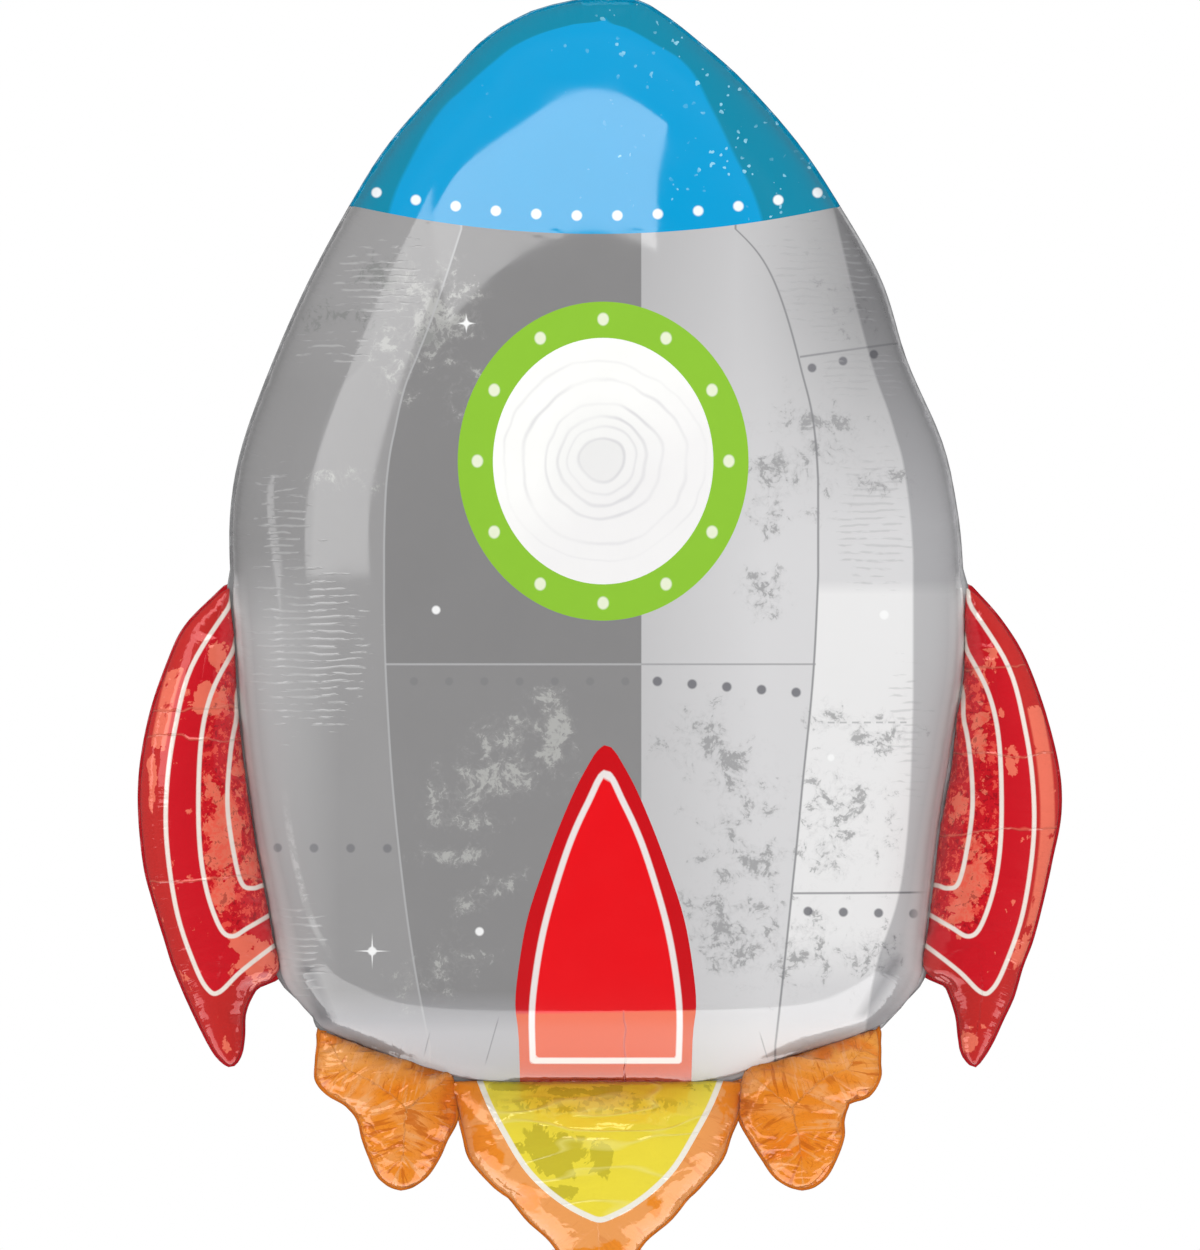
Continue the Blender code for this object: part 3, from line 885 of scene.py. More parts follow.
def buildTab(name, settings):
    rows = np.array(settings["rows"], float)
    bpy.ops.object.select_all(action="DESELECT")
    bpy.ops.mesh.primitive_grid_add(x_subdivisions=tabMesh["across"], y_subdivisions=tabMesh["along"], size=2)
    tab = bpy.context.object
    mesh = tab.data
    tab.name = mesh.name = name
    grid = readPoints(mesh)
    run = runAlong(rows)
    at = (grid[:, 1] + 1) / 2 * run[-1]
    half, z = (np.interp(at, run, column) for column in rows.T)
    x = grid[:, 0] * half
    y = settings["wave"] * (np.sin(x / 6 + z / 19) + 0.5 * np.sin(x / 3.1 - z / 7)) * 0.5
    y += 0.25 * creaseField(np.stack([x, y * 0, z], 1), 9.0, 4)
    writePoints(mesh, np.stack([x + settings["x"], y, z], 1) * mm)
    setAttribute(mesh, "rim", np.zeros(len(grid)))
    finishSheet(tab, seamSettings["thickness"], 0.001)
    return tab


tabs = {name: buildTab(name, settings) for name, settings in tabSettings.items()}
print("tabs built")


# Shared shader groups

def flatPlace(x, z):
    node = addNode(x.tree, "CombineXYZ")
    feedAll(node, X=x, Z=z)
    return Value(node.outputs[0])


def mixColour(share, first, second, blend="MIX"):
    # a single number is a grey
    node = addNode(share.tree, "Mix", data_type="RGBA", blend_type=blend)
    feed(node.inputs[0], share)
    for index, colour in ((6, first), (7, second)):
        if isinstance(colour, float):
            colour = (colour, colour, colour)
        feed(node.inputs[index], (*colour, 1.0) if isinstance(colour, tuple) else colour)
    return Value(node.outputs[2])


def newGroup(name, make, outputs, **inputs):
    # a shared node group out of a function, with the default of each input
    group = bpy.data.node_groups.new(name, "ShaderNodeTree")
    for label, value in inputs.items():
        kind = "NodeSocketFloat" if isinstance(value, float) else "NodeSocketVector"
        socket = group.interface.new_socket(label, in_out="INPUT", socket_type=kind)
        if value is not None:
            socket.default_value = value
    for label in outputs:
        group.interface.new_socket(label, in_out="OUTPUT", socket_type="NodeSocketFloat")
    given, result = group.nodes.new("NodeGroupInput"), group.nodes.new("NodeGroupOutput")
    made = make(*(Value(given.outputs[label]) for label in inputs))
    for label, value in zip(outputs, made):
        feed(result.inputs[label], value)
    return group


def printedDot(flat, centre, radius, soft):
    # a dot of the given radius at a flat centre
    away = addNode(flat.tree, "VectorMath", operation="DISTANCE")
    feed(away.inputs[0], flat)
    feed(away.inputs[1], centre)
    return [Value(away.outputs["Value"]).ramp(radius - soft, radius + soft, 1.0, 0.0)]


def printedLine(distance, half, soft):
    # a line of the given half width, where the distance passes through zero
    return [abs(distance).ramp(half - soft, half + soft, 1.0, 0.0)]


def foilCrinkle(run, place, away, reach, creases, facets):
    # fine creases across the seam and wide soft facets of drawn foil, and the creases' mask for their painted
    # highlight
    streak = reckon("POWER", run.ridge(190.0, 2.0, 0.6) * 2.0, 0.7)
    wide = run.ridge(75.0, 1.0, 0.5)
    near = away.ramp(0.0, reach, 1.0, 0.0, "SMOOTHSTEP")
    patchy = place.noise(14.0, 1.0, 0.5).ramp(0.38, 0.62, 0.25, 1.0)
    amount = near * patchy * creases
    drawn = place.ridge(62.0, 3.0, 0.5, 0.6) * facets
    return (streak * 0.35 + wide) * amount + drawn, streak * amount


def wornPrint(flat):
    # smudges and scribbles of worn print, from 0 to 1 without any patch
    smudge = flat.noise(68.0, 7.0, 0.70, 0.45)
    scribble = flat.ridge(125.0, 3.0, 0.62, 0.5)
    return [smudge + scribble.ramp(0.0, 0.10, 0.045, -0.045)]


def levelStreaks(flat, spread, spacing):
    # short level creases, one below the other, broken more where the spread is less
    rows = flat.parts()[2] / spacing + flat.noise(45.0, 2.0, 0.5) * 1.3
    thin = abs(rows.fraction()).ramp(0.06, 0.24, 1.0, 0.0)
    broken = flat.scaled((0.24, 0, 1)).noise(330.0, 2.0, 0.6) + spread.ramp(0.0, 0.7, -0.30, 0.05)
    return [thin * broken.ramp(0.45, 0.55)]


groups = {
    "dot": newGroup("printedDot", printedDot, ("Mask",), Flat=None, Centre=(0, 0, 0), Radius=0.003,
                    Softness=0.0005),
    "line": newGroup("printedLine", printedLine, ("Mask",), Distance=0.0, Half=0.001, Softness=0.0003),
    "crinkle": newGroup("foilCrinkle", foilCrinkle, ("Height", "CreaseHighlight"), Run=None, Place=None, Away=0.0,
                        Reach=0.06, Creases=1.0, Facets=0.3),
    "worn": newGroup("wornPrint", wornPrint, ("Ragged",), Flat=None),
    "streaks": newGroup("levelStreaks", levelStreaks, ("Mask",), Flat=None, Spread=1.0, Spacing=0.004),
}


def useGroup(name, **values):
    tree = next(value.tree for value in values.values() if isinstance(value, Value))
    node = addNode(tree, "Group", node_tree=groups[name])
    feedAll(node, **values)
    outputs = [Value(output) for output in node.outputs]
    return outputs if len(outputs) > 1 else outputs[0]


def curveOver(value, points):
    # x of a printed panel line at each height, both in millimetres
    z, x = np.array(points, float).T
    node = addNode(value.tree, "FloatCurve")
    curve = node.mapping.curves[0]
    where = (z - z.min()) / (z.max() - z.min())
    height = (x - x.min()) / (x.max() - x.min())
    for index, (u, v) in enumerate(zip(where, height)):
        if index in (0, len(where) - 1):
            curve.points[0 if index == 0 else len(curve.points) - 1].location = (u, v)
        else:
            curve.points.new(u, v)
    node.mapping.update()
    feed(node.inputs["Value"], value.ramp(z.min() * mm, z.max() * mm))
    return Value(node.outputs[0]).ramp(0.0, 1.0, x.min() * mm, x.max() * mm)


# Foil finishes: ink, refractive index, metal, roughness, creases, facets, reach and bump in metres

foilColumns = ("ink", "ior", "metal", "rough", "creases", "facets", "reach", "bump")
foilSettings = {
    "silver": ((0.355, 0.350, 0.352), 1.62, 0.06, 0.07, 0.8, 0.02, 0.060, 0.0010),
    "blue": ((0.0, 0.355, 0.70), 1.75, 0.0, 0.07, 0.6, 0.02, 0.040, 0.0010),
    "green": ((0.310, 0.63, 0.047), 1.6, 0.08, 0.07, 0.0, 0.01, 0.050, 0.0008),
    "white": ((0.98, 0.98, 0.96), 1.5, 0.0, 0.08, 0.0, 0.01, 0.050, 0.0008),
    "red": ((0.98, 0.007, 0.013), 1.7, 0.10, 0.07, 0.5, 0.02, 0.030, 0.0010),
    "finRed": ((0.70, 0.010, 0.020), 1.6, 0.10, 0.09, 0.9, 0.25, 0.045, 0.0012),
    "orange": ((0.98, 0.30, 0.022), 1.6, 0.10, 0.09, 1.0, 0.5, 0.050, 0.0013),
    "yellow": ((0.96, 0.80, 0.060), 1.6, 0.08, 0.09, 0.8, 0.5, 0.050, 0.0013),
}


class Foil:
    # a material being built: its tree, shader, place and flat place
    def __init__(self, name, finish, mirrored=False):
        self.set = dict(zip(foilColumns, foilSettings[finish]))
        self.material = bpy.data.materials.new(name)
        self.material.use_nodes = True
        self.tree = self.material.node_tree
        self.shader = self.tree.nodes["Principled BSDF"]
        self.place = Value(addNode(self.tree, "TexCoord").outputs["Object"])
        self.flat = self.place.scaled((-1 if mirrored else 1, 0, 1))
        self.x, _, self.z = self.flat.parts()
        self.run = self.attribute("foilRun", "Vector")
        self.away = self.attribute("seamDistance")
        self.height, tone = useGroup("crinkle", Run=self.run, Place=self.place, Away=self.away, **{
            label.title(): self.set[label] for label in ("reach", "creases", "facets")})
        ink = self.set["ink"]
        mottle = self.place.noise(26.0, 3.0, 0.6).ramp(0.3, 0.7, 0.0, 0.10)
        self.colour = mixColour(mottle, ink, tuple(c * 0.75 for c in ink))
        # the crease streaks are painted lighter: a painted highlight on the creases
        self.paint(tone, tuple(min(1.0, c * 1.25 + 0.10) for c in ink), 0.18)

    def attribute(self, name, output="Fac"):
        return Value(addNode(self.tree, "Attribute", attribute_name=name).outputs[output])

    def paint(self, mask, colour, strength=1.0):
        share = reckon("MULTIPLY", mask, strength, clamp=True)
        self.colour = mixColour(share, self.colour, colour)
        return mask

    def shade(self, mask, tone):
        # darkens what is painted already: an overprint of darker ink where the print has one, and painted
        # shade elsewhere
        self.colour = mixColour(mask, self.colour, tone, "MULTIPLY")

    def seamShade(self, amount):
        # the last few millimetres before the seam
        return self.away.ramp(0.0, 0.0030, amount, 0.0)

    def lift(self, mask, amount):
        # adds to the relief, in shares of the bump distance
        self.height = self.height + mask * amount

    def dot(self, place, radius, colour, strength=1.0, centre=(0.0, 0.0, 0.0)):
        mask = useGroup("dot", Flat=place, Centre=centre, Radius=radius * mm)
        return self.paint(mask, colour, strength)

    def dotRow(self, x, step, count, z, slope, radius, strength, colour):
        # a row of dots from its first centre, in millimetres
        across = self.x - x * mm
        index = reckon("MAXIMUM", reckon("ROUND", across / (step * mm)), 0.0)
        index = reckon("MINIMUM", index, count - 1.0)
        place = flatPlace(across - index * (step * mm), self.z - index.sloped(slope * step * mm, z * mm))
        return self.dot(place, radius, colour, strength)

    def line(self, distance, half, colour, strength=1.0, soft=0.3, within=None):
        mask = useGroup("line", Distance=distance, Half=half * mm, Softness=soft * mm)
        return self.paint(mask if within is None else mask * within, colour, strength)

    def beyond(self, points, side, soft):
        # one where the foil lies beyond a printed border, to the left (-1) or right (1)
        return ((self.x - curveOver(self.z, points)) * side).ramp(-soft * mm, soft * mm)

    def finish(self):
        bump = addNode(self.tree, "Bump")
        feedAll(bump, Strength=1.0, Distance=self.set["bump"], Height=self.height)
        base = self.set["rough"]
        feedAll(self.shader, IOR=self.set["ior"], Metallic=self.set["metal"], Base_Color=self.colour,
                Normal=Value(bump.outputs["Normal"]),
                Roughness=self.place.noise(40.0, 2.0, 0.5).ramp(0.3, 0.7, base - 0.02, base + 0.03))
        return self.material


# Prints, painted shade and painted highlights: places in millimetres, tones and inks as shares of light

hullPrint = {
    "splitX": 25.4,
    "lightInk": (0.74, 0.735, 0.745), "lineLight": (0.52, 0.52, 0.53), "lineDark": (0.15, 0.15, 0.17),
    "leftPanel": (
        (-280, -96.4), (-167, -113.7), (-80, -120.5), (-23.8, -122.2), (34.7, -121.4), (53.7, -119.8),
        (75.8, -115.8), (96.4, -111.1), (117, -103.2), (137.6, -95.3), (190, -78)),
    "rightPanel": (
        (-280, 102.7), (-196, 111.4), (-138, 117.1), (-35, 125.8), (46, 126.9), (110, 117.1), (190, 79.6)),
    # inner borders of the painted shade along the sides, a painted dark reflection
    "leftSide": (
        (-280, -128), (-240, -150), (-167, -164), (0, -164), (52, -161), (92, -151), (124, -130),
        (200, -118)),
    "rightSide": (
        (-285, 153), (-262, 156), (-242, 159), (-167, 177.7), (-81, 181.8), (0, 181.8), (46, 177.7),
        (75, 170.8), (115, 157.5), (205, 136)),
    # course of a narrow painted highlight on the left
    "leftHighlightWedge": ((-235, -150), (-225, -155), (-208, -164), (-167, -175), (-138, -179.5), (-120, -181)),
    # x, step, count, height, slope, radius, strength
    "rivetRows": (
        (34.6, 19.9, 5, -69.8, -0.08, 2.7, 0.85), (-105.0, 20.2, 7, -69.8, 0.0, 2.3, 0.22),
        (123.5, 17.9, 3, 110.2, 0.226, 2.5, 0.8), (121.2, 20.4, 4, -202.0, -0.03, 2.6, 0.85),
        (-184.0, 21.2, 4, -165.8, 0.0, 2.5, 0.55),
    ),
    # painted shade of folds at the bottom: middle x, z, slope, half length, half width, softness, strength
    "foldShadeMarks": (
        (-60.5, -277, 0.285, 15, 0.35, 0.3, 0.65), (-98, -279, 0.25, 8, 0.35, 0.3, 0.6),
        (96, -280, -0.30, 9, 0.35, 0.3, 0.6), (-162, -250, -0.40, 19, 5.0, 2.5, 0.55),
        (163, -246, 0.58, 20, 3.5, 3.0, 0.45),
    ),
    # patches with their ink and strength
    "wear": (
        ("paleWear", (0.56, 0.56, 0.54), 0.7), ("dimWear", (0.24, 0.245, 0.24), 0.7),
        ("darkWear", (0.30, 0.30, 0.305), 0.75)),
    "streaks": (("paleStreaks", 0.66), ("darkStreaks", (0.42, 0.42, 0.43))),
    "sparkles": (
        (-129.3, -225.0, 2.4), (-92.3, -28.9, 2.4), (-67.5, -213.5, 2.4), (-75.0, 135.6, 1.5),
        (165.0, -31.7, 2.6), (134.4, -113.7, 2.0)),
    "stars": ((-129.3, -225.0, 11.0), (-75.0, 135.6, 6.0)),
    # centre x, z, half width, half height, turn, weight
    "paleWear": (
        (-27, -98, 17, 36, 0.15, 1.1), (-60, -122, 56, 27, 0.75, 0.85), (-80, -169, 28, 8, 0.1, 0.9),
        (-66, -192, 28, 12, 0.5, 0.75), (-92, 137, 34, 26, 0.6, 1.0), (-105, 160, 34, 18, 0.3, 0.75),
        (-115, 112, 18, 26, 0.2, 0.7), (-90, -235, 44, 22, 0.6, 0.5), (-70, 90, 26, 40, 0.5, 0.5),
        (-145, 45, 26, 10, 0.0, 0.6),
    ),
    "dimWear": ((-128, 163, 20, 15, 0.2, 1.0), (-96, 128, 18, 10, 0.4, 0.8), (-150, 140, 40, 12, 0.0, 0.45)),
    "darkWear": (
        (74, -121, 18, 26, 0.5, 0.85), (76, -154, 18, 12, 0.5, 0.95), (91, -178, 20, 14, 0.6, 0.85),
        (74, -214, 26, 34, 0.5, 0.95), (138, -134, 16, 15, 0.3, 1.25), (129, -163, 13, 26, 0.2, 0.85),
        (133, -90, 15, 13, 0.2, 0.8), (104, 53, 22, 20, 0.5, 0.95), (97, 27, 16, 18, 0.3, 0.8),
        (157, 46, 30, 12, -0.1, 0.8), (96, -19, 18, 18, 0.4, 0.75), (112, -225, 40, 30, 0.4, 0.65),
        (60, -100, 34, 26, 0.4, 0.55), (165, -100, 26, 14, 0.0, 0.8), (160, -230, 24, 28, 0.3, 0.6),
        (126, 64, 50, 44, 0.4, 0.5), (150, 150, 34, 44, 0.4, 0.45), (90, -170, 50, 80, 0.2, 0.45),
        (145, -150, 40, 50, 0.2, 0.5),
    ),
    "paleStreaks": (
        (-166, -52, 44, 62, 0.0, 1.0), (-124, 160, 44, 34, 0.0, 0.85), (-182, 20, 26, 56, 0.0, 0.7),
        (-172, -225, 20, 40, 0.0, 1.0), (-150, 120, 40, 20, 0.0, 0.6),
    ),
    "darkStreaks": (
        (158, 22, 30, 54, 0.0, 0.95), (152, 108, 34, 22, 0.0, 0.9), (132, 162, 40, 42, 0.0, 1.0),
        (180, -100, 18, 66, 0.0, 0.7),
    ),
}


def ovalSpread(flat, rows):
    # one in the middle of the nearest turned oval, fading to zero at its rim
    total = np.zeros(len(flat))
    for x, z, halfX, halfZ, turn, weight in rows:
        away = flat - (x, z)
        across = away[:, 0] * math.cos(turn) + away[:, 1] * math.sin(turn)
        up = away[:, 1] * math.cos(turn) - away[:, 0] * math.sin(turn)
        size = np.hypot(across / halfX, up / halfZ)
        total = np.maximum(total, weight * ((1.2 - size) / 1.05).clip(0, 1))
    return total


def markPatches(piece, table, names, backTurn=1):
    # where the print is worn or creased, as attributes; a back sheet's print can be turned round
    for word, side in (("front", 1), ("back", backTurn)):
        mesh = pieces[f"{piece}_{word}"].data
        for name in names:
            setAttribute(mesh, name, ovalSpread(readFlat(mesh) * (side, 1), table[name]))


markPatches("foil_hull", hullPrint, ("paleWear", "dimWear", "darkWear", "paleStreaks", "darkStreaks"), -1)


# Foils: heights and widths in a ramp are in metres

def makeSilver(name, mirrored=False):
    foil = Foil(name, "silver", mirrored)
    x, z, away, p = foil.x, foil.z, foil.away, hullPrint
    right = x.ramp((p["splitX"] - 0.3) * mm, (p["splitX"] + 0.3) * mm)
    left = 1.0 - right
    foil.paint(right, p["lightInk"])
    # each panel has its own printed tone, and the light half is darkened with painted shade to the top right
    # and to the middle seam
    inPanel = foil.beyond(p["leftPanel"], 1, 0.6) * left
    foil.shade(inPanel, 0.82)
    foil.shade(inPanel * z.ramp(-0.0604, -0.0596), 0.92)
    foil.shade(right * z.ramp(0.0, 0.19), 0.84)
    foil.shade(x.ramp(0.080, 0.150) * z.ramp(0.020, 0.150), 0.58)
    foil.shade(right * x.ramp(0.095, 0.025), 0.80)
    # a painted highlight on the light panel, standing in for a soft reflection of the lights
    paintedHighlight = foil.beyond(p["rightPanel"], 1, 1.0) * z.ramp(-0.012, -0.020) * z.ramp(-0.245, -0.215)
    foil.paint(paintedHighlight, (0.90, 0.895, 0.895), 0.9)
    # a painted reflection of the floor light along the bottom of the dark half
    foil.paint(z.ramp(-0.248, -0.272) * left, (0.52, 0.52, 0.55), 0.8)
    # painted light on the lower left flank, lightening it where the fins shade it
    litFlank = x.ramp(-0.148, -0.188) * z.ramp(0.004, -0.040) * z.ramp(-0.268, -0.236)
    foil.paint(litFlank, (0.51, 0.505, 0.51), 0.8)
    # each worn patch is a haze with ragged marks in it
    worn = useGroup("worn", Flat=foil.flat)
    for patches, colour, strength in p["wear"]:
        spread = foil.attribute(patches)
        ragged = worn + spread * 0.17
        foil.paint(ragged.ramp(0.54, 0.70) * spread.ramp(0.05, 0.5), colour, strength * 0.35)
        foil.paint(ragged.ramp(0.635, 0.705) * spread.ramp(0.02, 0.25), colour, strength * 0.85)
    # panel lines, a dashed line and rivets
    foil.line(x - curveOver(z, p["leftPanel"]), 0.55, p["lineLight"], 0.75)
    foil.line(x - curveOver(z, p["rightPanel"]), 0.6, (0.27, 0.27, 0.28), 0.85)
    level = z + 0.0600
    inside = x.within(-0.1215, 0.1255)
    foil.line(level, 0.55, p["lineLight"], 0.8, within=inside * left)
    foil.line(level, 0.5, (0.36, 0.36, 0.37), 0.8, within=inside * right)
    foil.line(z + 0.1916, 0.6, (0.30, 0.30, 0.31), 0.85, within=x.within(0.1125, 0.200))
    foil.line(z - x.sloped(0.15, 0.0990), 0.6, (0.30, 0.30, 0.31), 0.85, within=x.within(0.1165, 0.190))
    dashes = (reckon("SINE", x * 900.0) > -0.2) * x.within(0.129, 0.178)
    foil.line(z + 0.0935, 0.45, (0.40, 0.40, 0.41), 0.7, within=dashes)
    for row in p["rivetRows"]:
        foil.dotRow(*row, p["lineDark"])
    # painted shade and painted dark reflections along the sides, painted shade of folds at the bottom, a
    # painted highlight wedge, and painted light and a painted highlight strip where the fins begin
    leftSide = foil.beyond(p["leftSide"], -1, 1.5) * z.ramp(-0.040, 0.010) * z.ramp(0.150, 0.100)
    foil.shade(leftSide, 0.90)
    foil.shade(foil.beyond(p["rightSide"], 1, 0.8), (0.60, 0.60, 0.61))
    for middleX, middleZ, slope, reach, half, soft, strength in p["foldShadeMarks"]:
        across = x - z.sloped(slope, (middleX - slope * middleZ) * mm)
        ends = abs(z - middleZ * mm).ramp(reach * mm, (reach - 5) * mm)
        foil.line(across, half, (0.16, 0.16, 0.17), strength, soft, ends)
    ends = z.ramp(-0.232, -0.205) * z.ramp(-0.130, -0.165) * worn.ramp(0.44, 0.54, 0.25, 1.0)
    foil.line(x - curveOver(z, p["leftHighlightWedge"]), 1.8, 0.62, 0.75, 0.8, ends)
    # painted light beside the fins and a painted highlight strip at the rim, lightening the shade where the
    # hull meets the fins
    beside = z.ramp(-0.006, -0.030) * z.ramp(-0.262, -0.235)
    foil.paint(away.ramp(0.036, 0.010) * beside, 0.84, 0.85)
    edge = away.ramp(0.0075, 0.0055) * z.within(-0.222, -0.016)
    foil.paint(edge * right.ramp(0.0, 1.0, 0.5, 1.0), (0.98, 0.98, 0.97), 0.95)
    foil.shade(foil.seamShade(0.20), (0.55, 0.55, 0.56))
    # level creases, bumped, with pale and dark streaks painted as their reflections
    for streaks, colour in p["streaks"]:
        mask = useGroup("streaks", Flat=foil.flat, Spread=foil.attribute(streaks), Spacing=0.0041)
        foil.paint(mask, colour, 0.34)
        foil.lift(mask, 0.10)
    for centreX, centreZ, radius in p["sparkles"]:
        foil.dot(foil.flat, radius, 1.0, 0.95, (centreX * mm, 0.0, centreZ * mm))
    for centreX, centreZ, size in p["stars"]:
        across, up = abs(x - centreX * mm), abs(z - centreZ * mm)
        reach = (across + up).ramp(size * 0.5 * mm, size * mm, 1.0, 0.0)
        foil.paint((across * up).ramp(0.4e-6, 2.2e-6, 1.0, 0.0) * reach, 1.0)
    return foil.finish()


nosePrint = {
    "rivetRadius": 576.5, "rivetStep": 0.0404, "dot": 2.9,
    # inner borders of the painted dark reflections along the sides
    "leftSide": (
        (185, -122), (206, -118), (225.6, -109.6), (259, -90), (272.3, -76.2), (286.2, -60.6), (297.7, -45),
        (308.7, -13.8), (312, 5), (335, 8)),
    "rightSide": (
        (185, 97), (206, 91.7), (235.4, 77.9), (259, 66.4), (283.9, 52.5), (297.7, 32.9), (306.4, 17.3),
        (312, 5), (335, 2)),
}


def makeBlue(name, mirrored=False):
    foil = Foil(name, "blue", mirrored)
    p = nosePrint
    # painted dark reflections along both sides of the nose
    sides = reckon("MAXIMUM", foil.beyond(p["leftSide"], -1, 1.2), foil.beyond(p["rightSide"], 1, 1.2))
    foil.shade(sides, (1.0, 0.72, 0.58))
    # splatter of small pale specks, thicker to the right and to the top
    cells = addNode(foil.tree, "TexVoronoi")
    feedAll(cells, Vector=foil.flat, Scale=190.0, Randomness=1.0)
    size = foil.flat.noise(300.0, 1.0, 0.5).ramp(0.40, 0.68, 0.03, 0.34)
    speck = Value(cells.outputs["Distance"]) < size
    thicker = foil.x.ramp(-0.05, 0.09, -0.14, 0.10) + foil.z.ramp(0.26, 0.31, 0.0, 0.05)
    spread = (foil.flat.noise(38.0, 3.0, 0.6) + thicker).ramp(0.50, 0.62)
    foil.paint(speck * spread, (0.36, 0.74, 0.92), 0.8)
    # rivets round the nose's centre
    down = borderSettings["noseCentreZ"] * mm - foil.z
    far = reckon("SQRT", foil.x * foil.x + down * down)
    share = (reckon("ARCTAN2", foil.x, down) / p["rivetStep"]).fraction()
    place = flatPlace(share * (p["rivetStep"] * p["rivetRadius"] * mm), far - p["rivetRadius"] * mm)
    foil.dot(place, p["dot"], (0.92, 0.97, 1.0))
    foil.shade(foil.seamShade(0.3), 0.5)
    return foil.finish()


def polar(foil, halfX, halfZ):
    # share of the porthole's radius, and the angle
    x = (foil.x - borderSettings["portholeX"] * mm) / (halfX * mm)
    z = (foil.z - borderSettings["portholeZ"] * mm) / (halfZ * mm)
    return reckon("SQRT", x * x + z * z), reckon("ARCTAN2", x, z)


portholePrint = {"rivets": 12, "radiusX": 72.1, "radiusZ": 81.4, "dot": 3.4}


def makeGreen():
    foil = Foil("ringGreen", "green")
    p = portholePrint
    far, angle = polar(foil, p["radiusX"], p["radiusZ"])
    share = (angle * (p["rivets"] / (2 * math.pi)) + 0.5).fraction()
    middle = (p["radiusX"] + p["radiusZ"]) / 2 * mm
    place = flatPlace(share * (2 * math.pi / p["rivets"] * middle), (far - 1.0) * middle)
    foil.dot(place, p["dot"], (0.90, 0.96, 0.72))
    return foil.finish()


# rings: radius, half width, strength
windowPrint = {
    "rings": ((12.0, 0.9, 0.55), (19.5, 0.7, 0.4), (25.5, 0.9, 0.6), (33.5, 0.8, 0.6), (47.0, 0.8, 0.5),
              (57.0, 0.6, 0.3)),
}


def makeWhite():
    foil = Foil("windowWhite", "white")
    far = polar(foil, 1000.0, 1000.0)[0] + foil.flat.noise(24.0, 2.0, 0.5).swing(0.0028)
    foil.paint(far.ramp(0.0115, 0.0125, 1.0, 0.0), (0.78, 0.78, 0.77), 0.8)
    foil.paint(far.ramp(0.020, 0.040, 1.0, 0.0), (0.86, 0.86, 0.85), 0.5)
    # painted shade towards the lower right of the window
    lowRightShade = foil.x * 0.6 - foil.z * 0.8
    foil.paint(lowRightShade.ramp(-0.062, -0.018), (0.86, 0.845, 0.855), 0.6)
    faded = foil.flat.noise(16.0, 1.0, 0.5, 0.4).ramp(0.40, 0.58, 0.25, 1.0)
    for radius, half, strength in windowPrint["rings"]:
        foil.line(far - radius * mm, half, (0.60, 0.595, 0.62), strength, 0.6, faded)
    return foil.finish()


# foil, ink, darker tone at the outer rim
seamPrint = {
    "seamBlue": ("blue", (0.0, 0.31, 0.55), (0.005, 0.17, 0.28)),
    "seamSilver": ("silver", (0.33, 0.33, 0.335), (0.22, 0.22, 0.225)),
    "seamRed": ("finRed", (0.60, 0.012, 0.020), (0.36, 0.010, 0.016)),
    "seamOrange": ("orange", (0.86, 0.24, 0.018), (0.48, 0.13, 0.014)),
}


def makeSeam(name):
    # pressed foil: fine ribs across the seal, and a darker outer rim
    finish, ink, rimTone = seamPrint[name]
    foil = Foil(name, finish)
    foil.paint(foil.place.noise(90.0, 2.0, 0.5).ramp(0.2, 0.8, 0.85, 1.0), ink)
    if name == "seamSilver":
        # the light half, and the red of the centre fin
        foil.paint(foil.x.ramp(0.0251, 0.0257), (0.60, 0.60, 0.61), 0.9)
        finX, finHalf = borderSettings["finX"], 49.5
        red = foil.x.within((finX - finHalf) * mm, (finX + finHalf) * mm) * (foil.z < -0.2)
        foil.paint(red, (0.62, 0.010, 0.016))
    rim = foil.attribute("rim") + foil.place.noise(160.0, 1.0, 0.5).swing(0.08)
    foil.paint(rim.ramp(0.70, 0.92), rimTone, 0.9)
    foil.lift(foil.place.noise(420.0, 1.0, 0.5), 0.3)
    return foil.finish()


def makeRed():
    foil = Foil("centreFinRed", "red")
    line = foil.attribute("finLine")
    foil.shade(line.ramp(-0.0005, 0.0005), (0.72, 0.9, 0.9))
    # the lowest part has a painted sheen under a level border, a painted reflection, with a fine crease
    # painted dark as its shade
    sheen = (foil.z - foil.x.sloped(0.02, -0.2598)).ramp(0.0006, -0.0012)
    foil.paint(sheen, (0.80, 0.13, 0.01), 0.75)
    crease = foil.x - 0.016 + foil.flat.noise(60.0, 1.0, 0.5).swing(0.0012)
    foil.lift(foil.line(crease, 0.35, (0.60, 0.05, 0.04), 0.7, within=sheen), -0.4)
    foil.line(line, 1.75, (0.98, 0.90, 0.88), soft=0.4)
    return foil.finish()


